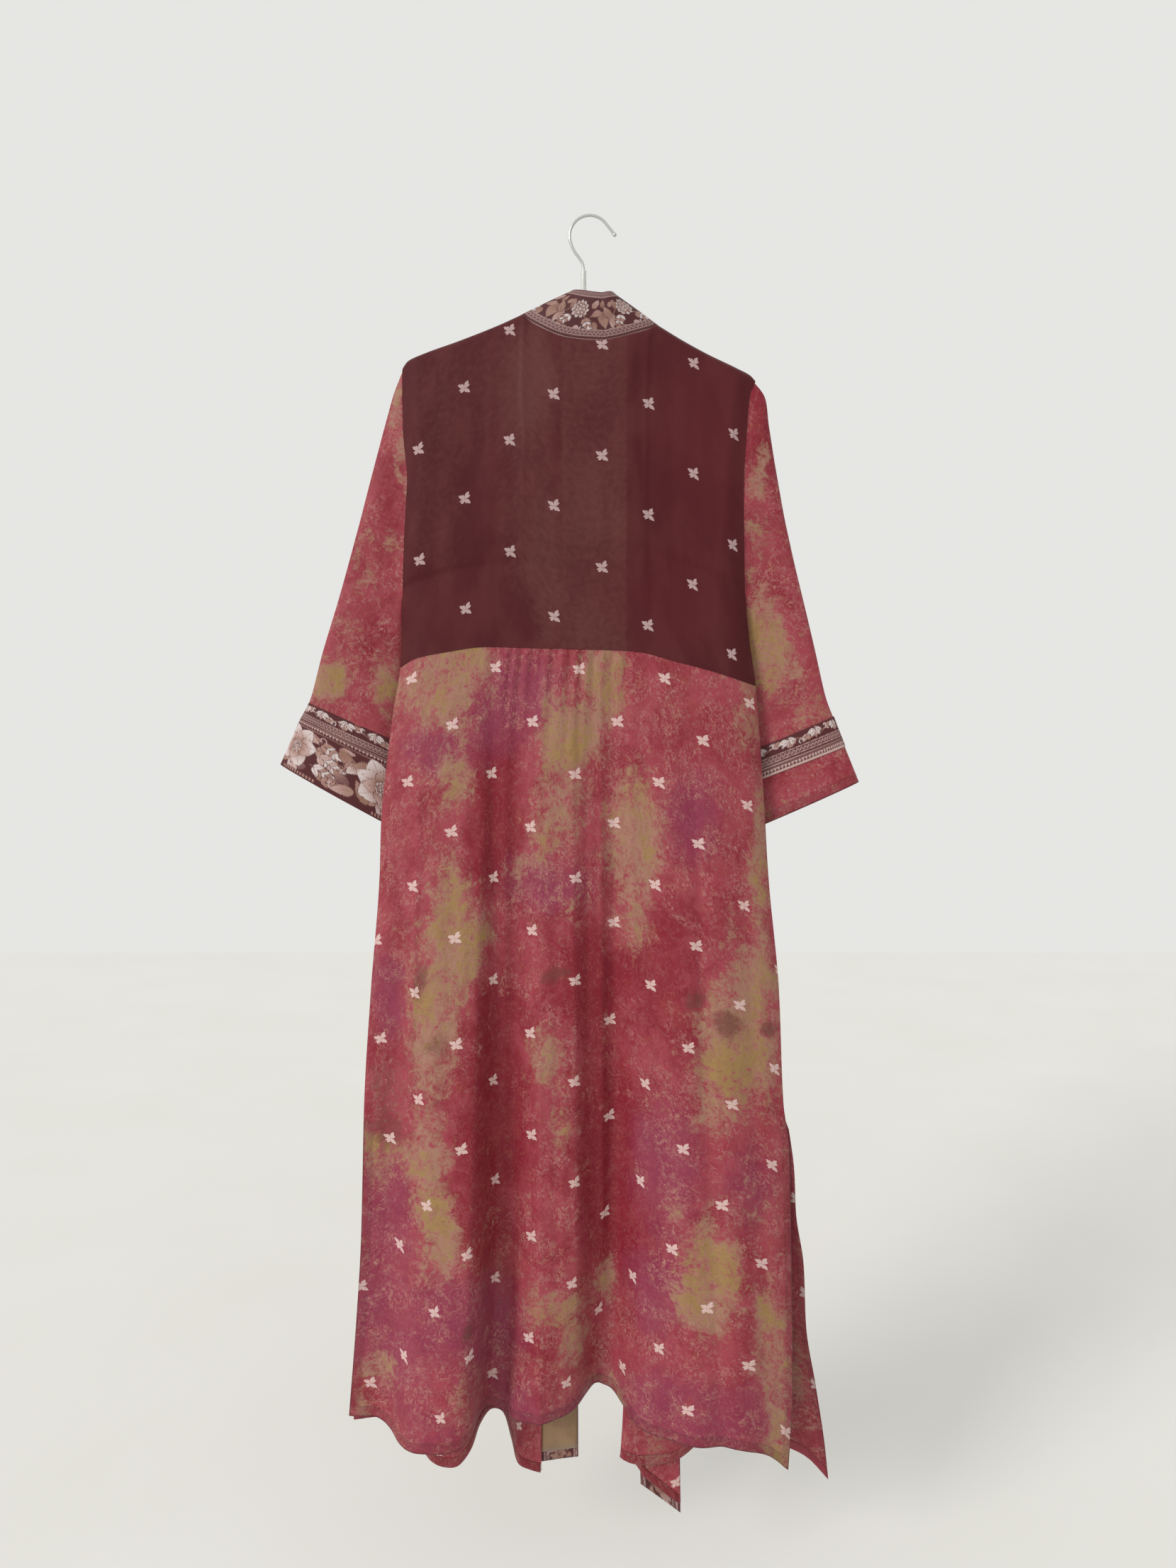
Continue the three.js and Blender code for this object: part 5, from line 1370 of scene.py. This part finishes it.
def build_fronts():
    """Both fronts, with their hems."""
    across = np.linspace(0, 1, 116)
    left = dict(
        side=-1, band=band_left, hem_rows=FRONT_LEFT_HEM, u=across, share=lambda u: u, tip_x=-220,
        shoulder=shoulder_left, edge=side_left,
        slit_edge=lambda z: side_left(z) + 3 * smooth(SLIT_TOP_Z - z, 0, 300),
    )
    right = dict(
        side=1, band=band_right, hem_rows=FRONT_RIGHT_HEM, u=across, share=fold_share, tip_x=195,
        shoulder=shoulder_right, edge=side_right, slit_edge=front_slit_right,
    )
    for name, settings in (("left", left), ("right", right)):
        grid, u, edge = front_grid(**settings)
        uv = spread(u, FRONT_WIDTH, grid)
        maps = {"UVMap": uv * MM, "lattice": plain_lattice(uv)}
        front = dyed_sheet(f"front_{name}_panel", f"front_{name}", grid, maps, edge)
        hem = hem_strip(f"front_{name}_hem", f"front_{name}", grid, -1)


def build_sleeves():
    """The sleeves, the left one's brocade cuff, and the right one's trim and plain cuff."""
    tops = np.array([0, 0.03, 0.08, 0.15])
    for name, surface, end, flat, area in (
        ("left", sleeve_left, CUFF_ROW_LEFT + 0.05, (0.3, 0.41), 0.061),
        ("right", sleeve_right, cuff_row_right + 0.05, (0.3, 0.43), 0.065),
    ):
        rows = np.concatenate([tops, np.linspace(0.25, end, 104)])
        grid = tube(surface, rows, 140, wrinkle=0.55, seed=31)
        maps = {"UVMap": flat_uv(grid)}
        arm = dyed_sheet(f"sleeve_{name}_tube", f"sleeve_{name}", grid, maps, NO_HEM, SLEEVE_SILK)

    rows = np.linspace(CUFF_ROW_LEFT - 0.01, 10, 88)
    grid = tube(sleeve_left, rows, 420, out=0.45, wrinkle=0.35, seed=35)
    along, down, round_mm = wrapped(grid, 40)
    woven = weave_cuff(down / down[:, -1:] * CUFF_PATTERN, along, round_mm)
    cuff = woven_sheet("cuff_left_band", "cuff_left", grid, along, down, woven)

    rows = np.linspace(cuff_row_right - 0.01, 10, 30)
    grid = tube(sleeve_right, rows, 140, wrinkle=0.35, seed=36)
    _, down, round_mm = wrapped(grid, 10)
    size = round_mm * MM, mean_length(grid)
    maps = {"UVMap": flat_uv(grid)}
    cuff = dyed_sheet("cuff_right_tube", "cuff_right", grid, maps, down[:, -1:] - down, SLEEVE_SILK)

    rows = np.linspace(*TRIM_ROWS_RIGHT, 38)
    grid = tube(sleeve_right, rows, 350, out=1.1, wrinkle=0.25, seed=36)
    along, down, round_mm = wrapped(grid, 20)
    size = round_mm * MM, mean_length(grid)
    woven = weave_trim(down / down[:, -1:] * TRIM_PATTERN, along, round_mm)
    trim = woven_sheet("trim_right_band", "trim_right", grid, along, down, woven)


def band_sheet(name, node, side, rows, across, y_from=0.0):
    """A length of the neck band between rows, crowned a little, and how long it is."""
    free, sewn = (band_left if side == "left" else band_right)(rows)
    share = np.linspace(0, 1, across)[:, None, None]
    grid = mix(free[None], sewn[None], share)
    n = normals(grid)
    crown = np.sin(math.pi * share[..., 0]) * 0.5
    grid = grid + n * crown[..., None] * -np.sign(n[..., 1:2].mean() * (1 if "collar" in name else -1))
    along = lengths(grid[across // 2], 0)
    x = np.broadcast_to(share[..., 0] * BAND_PATTERN, grid.shape[:2])
    y = np.broadcast_to(along[None] + y_from, grid.shape[:2])
    woven = weave_collar(x, y if side == "right" else -y, BAND_PATTERN)
    return woven_sheet(name, node, grid, x, y, woven, thickness=0.8), float(along[-1])


def build_band():
    """The neck band's two halves, each in two lengths, and the facings behind them."""
    last = len(BAND_LEFT) - 1
    for name, band, finish, slot in (
        ("left", band_left, FACING, "facing_silk"),
        ("right", band_right, DYED, "dyed_silk"),
    ):
        rows = np.linspace(0, COLLAR_END + 0.02, 210)
        collar, length = band_sheet(f"collar_{name}_band", f"collar_{name}", name, rows, 68)
        rows = np.linspace(COLLAR_END, last, 480)
        strip, length = band_sheet(f"front_band_{name}", f"band_{name}", name, rows, 37, length)
        rows = np.linspace(FACING_ROW, last, 90)
        free, _ = band(rows)
        reach = np.linalg.norm(free[-1] - free[-2])
        keep = rows[-1] - TURN_UP / reach * (rows[-1] - rows[-2])
        free, sewn = band(np.linspace(FACING_ROW, keep, 90))
        share = np.linspace(0.02, 1, 14)[:, None, None]
        grid = mix(free[None], sewn[None], share) - [0, FACING_INSET, 0]
        uv = spread(share[:, 0, 0], FACING_WIDTH, grid)
        maps = {"UVMap": uv * MM, "lattice": plain_lattice(uv, 0.4)}
        size = 0.05, mean_length(grid)
        facing = dyed_sheet(f"facing_{name}_strip", f"facing_{name}", grid, maps, NO_HEM, finish, slot)


# ---- the hanger -----------------------------------------------------------------------------
WIRE_RADIUS = 1.7
HOOK_RADIUS = 23.5
TIP_RADIUS = 2.45
STEM_X = -7.4


def swept(name, path, radii, material, around=20, depth=None):
    """A closed rod along a path; radii are half sizes in the path's plane, depth across it."""
    tangent = np.gradient(path, axis=0)
    tangent /= np.linalg.norm(tangent, axis=1, keepdims=True)
    side = np.cross(tangent, [0.0, 1.0, 0.0])
    angle = np.linspace(0, TAU, around, endpoint=False)
    radii = np.broadcast_to(radii, len(path))[:, None, None]
    depths = radii if depth is None else np.broadcast_to(depth, len(path))[:, None, None]
    ring = side[:, None] * radii * np.cos(angle)[None, :, None]
    ring = ring + depths * np.sin(angle)[None, :, None] * np.array([0.0, 1.0, 0.0])
    verts = (path[:, None] + ring).reshape(-1, 3)
    faces = []
    for i in range(len(path) - 1):
        for j in range(around):
            a, b = i * around + j, i * around + (j + 1) % around
            faces.append((a, b, b + around, a + around))
    faces += [tuple(range(around - 1, -1, -1)), tuple(range(len(verts) - around, len(verts)))]
    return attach(new_piece(name, verts, faces, material), "root")


def build_hanger():
    """The wire hook, the arms under the shoulder seams, and the neck between them."""
    centre = WIRE_RADIUS - HOOK_RADIUS
    turn = np.radians(np.linspace(38, 196, 17))
    arc = points(HOOK_RADIUS * np.cos(turn), 0, centre + HOOK_RADIUS * np.sin(turn))
    stem = [(-18.4, 0, -38.5), (-12.6, 0, -46.5), (-8.8, 0, -52.6)]
    stem += [(STEM_X, 0, z) for z in (-59, -66, -76)]
    path = curve(np.vstack([[(28.4, 0, -19.5), (23.5, 0, -13.4)], arc, stem]))(np.linspace(0, 1, 150))
    hook = swept("hook_wire", path, WIRE_RADIUS, STEEL, 24)
    finished(hook, "hook_steel", "hanger_hook")
    angle = np.linspace(0, math.pi, 16)
    line = points(29.0, 0, -20.3 + TIP_RADIUS * np.cos(angle))
    ball = swept("hook_tip", line, np.maximum(TIP_RADIUS * np.sin(angle), 0.05), STEEL, 24)
    finished(ball, "hook_steel", "hanger_hook")

    over = lambda line, a, b: [(x, 0, float(line(x)) - 8) for x in np.linspace(a, b, 7)]
    spine = over(shoulder_left, -205, -94)
    spine += [(-82, 0, -126), (-50, 0, -112), (-22, 0, -101.5), (STEM_X, 0, -98)]
    spine += [(8, 0, -98.5), (30, 0, -104), (56, 0, -123), (82, 0, -138.5)] + over(shoulder_right, 94, 180)
    t = np.linspace(0, 1, 120)
    taper = np.sqrt(np.clip(np.minimum(t, 1 - t) / 0.03, 0.02, 1))
    body = swept("hanger_arms", curve(spine)(t), 6.3 * taper, PLASTIC, 24, 3.9 * taper)
    finished(body, "clear_plastic", "hanger_body")
    rise = np.array([-98, -94, -91, -88.5, -86, -80, -70, -63, -61.6, -61.05, -61])
    size = np.array([6, 5.6, 5, 3.9, 3.4, 3.3, 3.3, 3.3, 3.15, 2.7, 2.0])
    neck = swept("hanger_neck", points(STEM_X, 0, rise), size, PLASTIC, 24)
    finished(neck, "clear_plastic", "hanger_body")


build_back()
build_fronts()
build_sleeves()
build_band()
build_hanger()


# ---- floor, light and camera ----------------------------------------------------------------
WINDOW = {"energy": 1.55, "angle": math.radians(20), "color": (1.0, 0.985, 0.96)}
WINDOW_TURN = (math.radians(62), 0, math.radians(-48))
SURROUND = (0.86, 0.86, 0.84, 1.0)
FLOOR_HALF, FLOOR_Z = 4000, -1720
CAMERA_PLACE = (-0.00207, -1.360, -0.5773)


def build_light(scene):
    """Soft light: an even pale surround, brighter from the upper left in front of the garment's back."""
    world = bpy.data.worlds.new("studio")
    world.use_nodes = True
    tree = world.node_tree
    link = tree.links.new
    at = tree.nodes.new("ShaderNodeTexCoord").outputs["Generated"]
    shares = []
    ramps = [((-0.62, -0.3, 0.72), -0.9, 1.0, 0.34, 1.3), ((0, -1, 0), -0.1, 0.45, 0, 1)]
    for direction, low, high, a, b in ramps:
        dot = tree.nodes.new("ShaderNodeVectorMath")
        dot.operation = "DOT_PRODUCT"
        dot.inputs[1].default_value = direction
        link(at, dot.inputs[0])
        ramp = tree.nodes.new("ShaderNodeMapRange")
        for k, value in enumerate((low, high, a, b), 1):
            ramp.inputs[k].default_value = value
        link(dot.outputs["Value"], ramp.inputs[0])
        shares.append(ramp.outputs[0])
    strength = tree.nodes.new("ShaderNodeMix")
    strength.inputs[2].default_value = 0.92
    link(shares[1], strength.inputs[0])
    link(shares[0], strength.inputs[3])
    background = tree.nodes["Background"]
    background.inputs["Color"].default_value = SURROUND
    link(strength.outputs[0], background.inputs["Strength"])
    scene.world = world
    lamp = bpy.data.lights.new("window", "SUN")
    for key, value in WINDOW.items():
        setattr(lamp, key, value)
    window = bpy.data.objects.new("window", lamp)
    window.rotation_euler = WINDOW_TURN
    scene.collection.objects.link(window)


def build_studio():
    """The floor, the light and the photo's camera."""
    scene = bpy.context.scene
    scene.view_settings.view_transform = "Standard"
    corners = points(FLOOR_HALF * np.array([-1, 1, 1, -1]), FLOOR_HALF * np.array([-1, -1, 1, 1]), FLOOR_Z)
    floor = new_piece("floor", corners, [(0, 1, 2, 3)], pale_floor())

    build_light(scene)
    lens = bpy.data.cameras.new("camera")
    lens.sensor_fit = "VERTICAL"
    lens.sensor_height = 36
    lens.lens = 26
    camera = bpy.data.objects.new("camera", lens)
    camera.location = CAMERA_PLACE
    camera.rotation_euler = (math.pi / 2 - TILT, 0, 0)
    scene.collection.objects.link(camera)
    scene.camera = camera


build_studio()
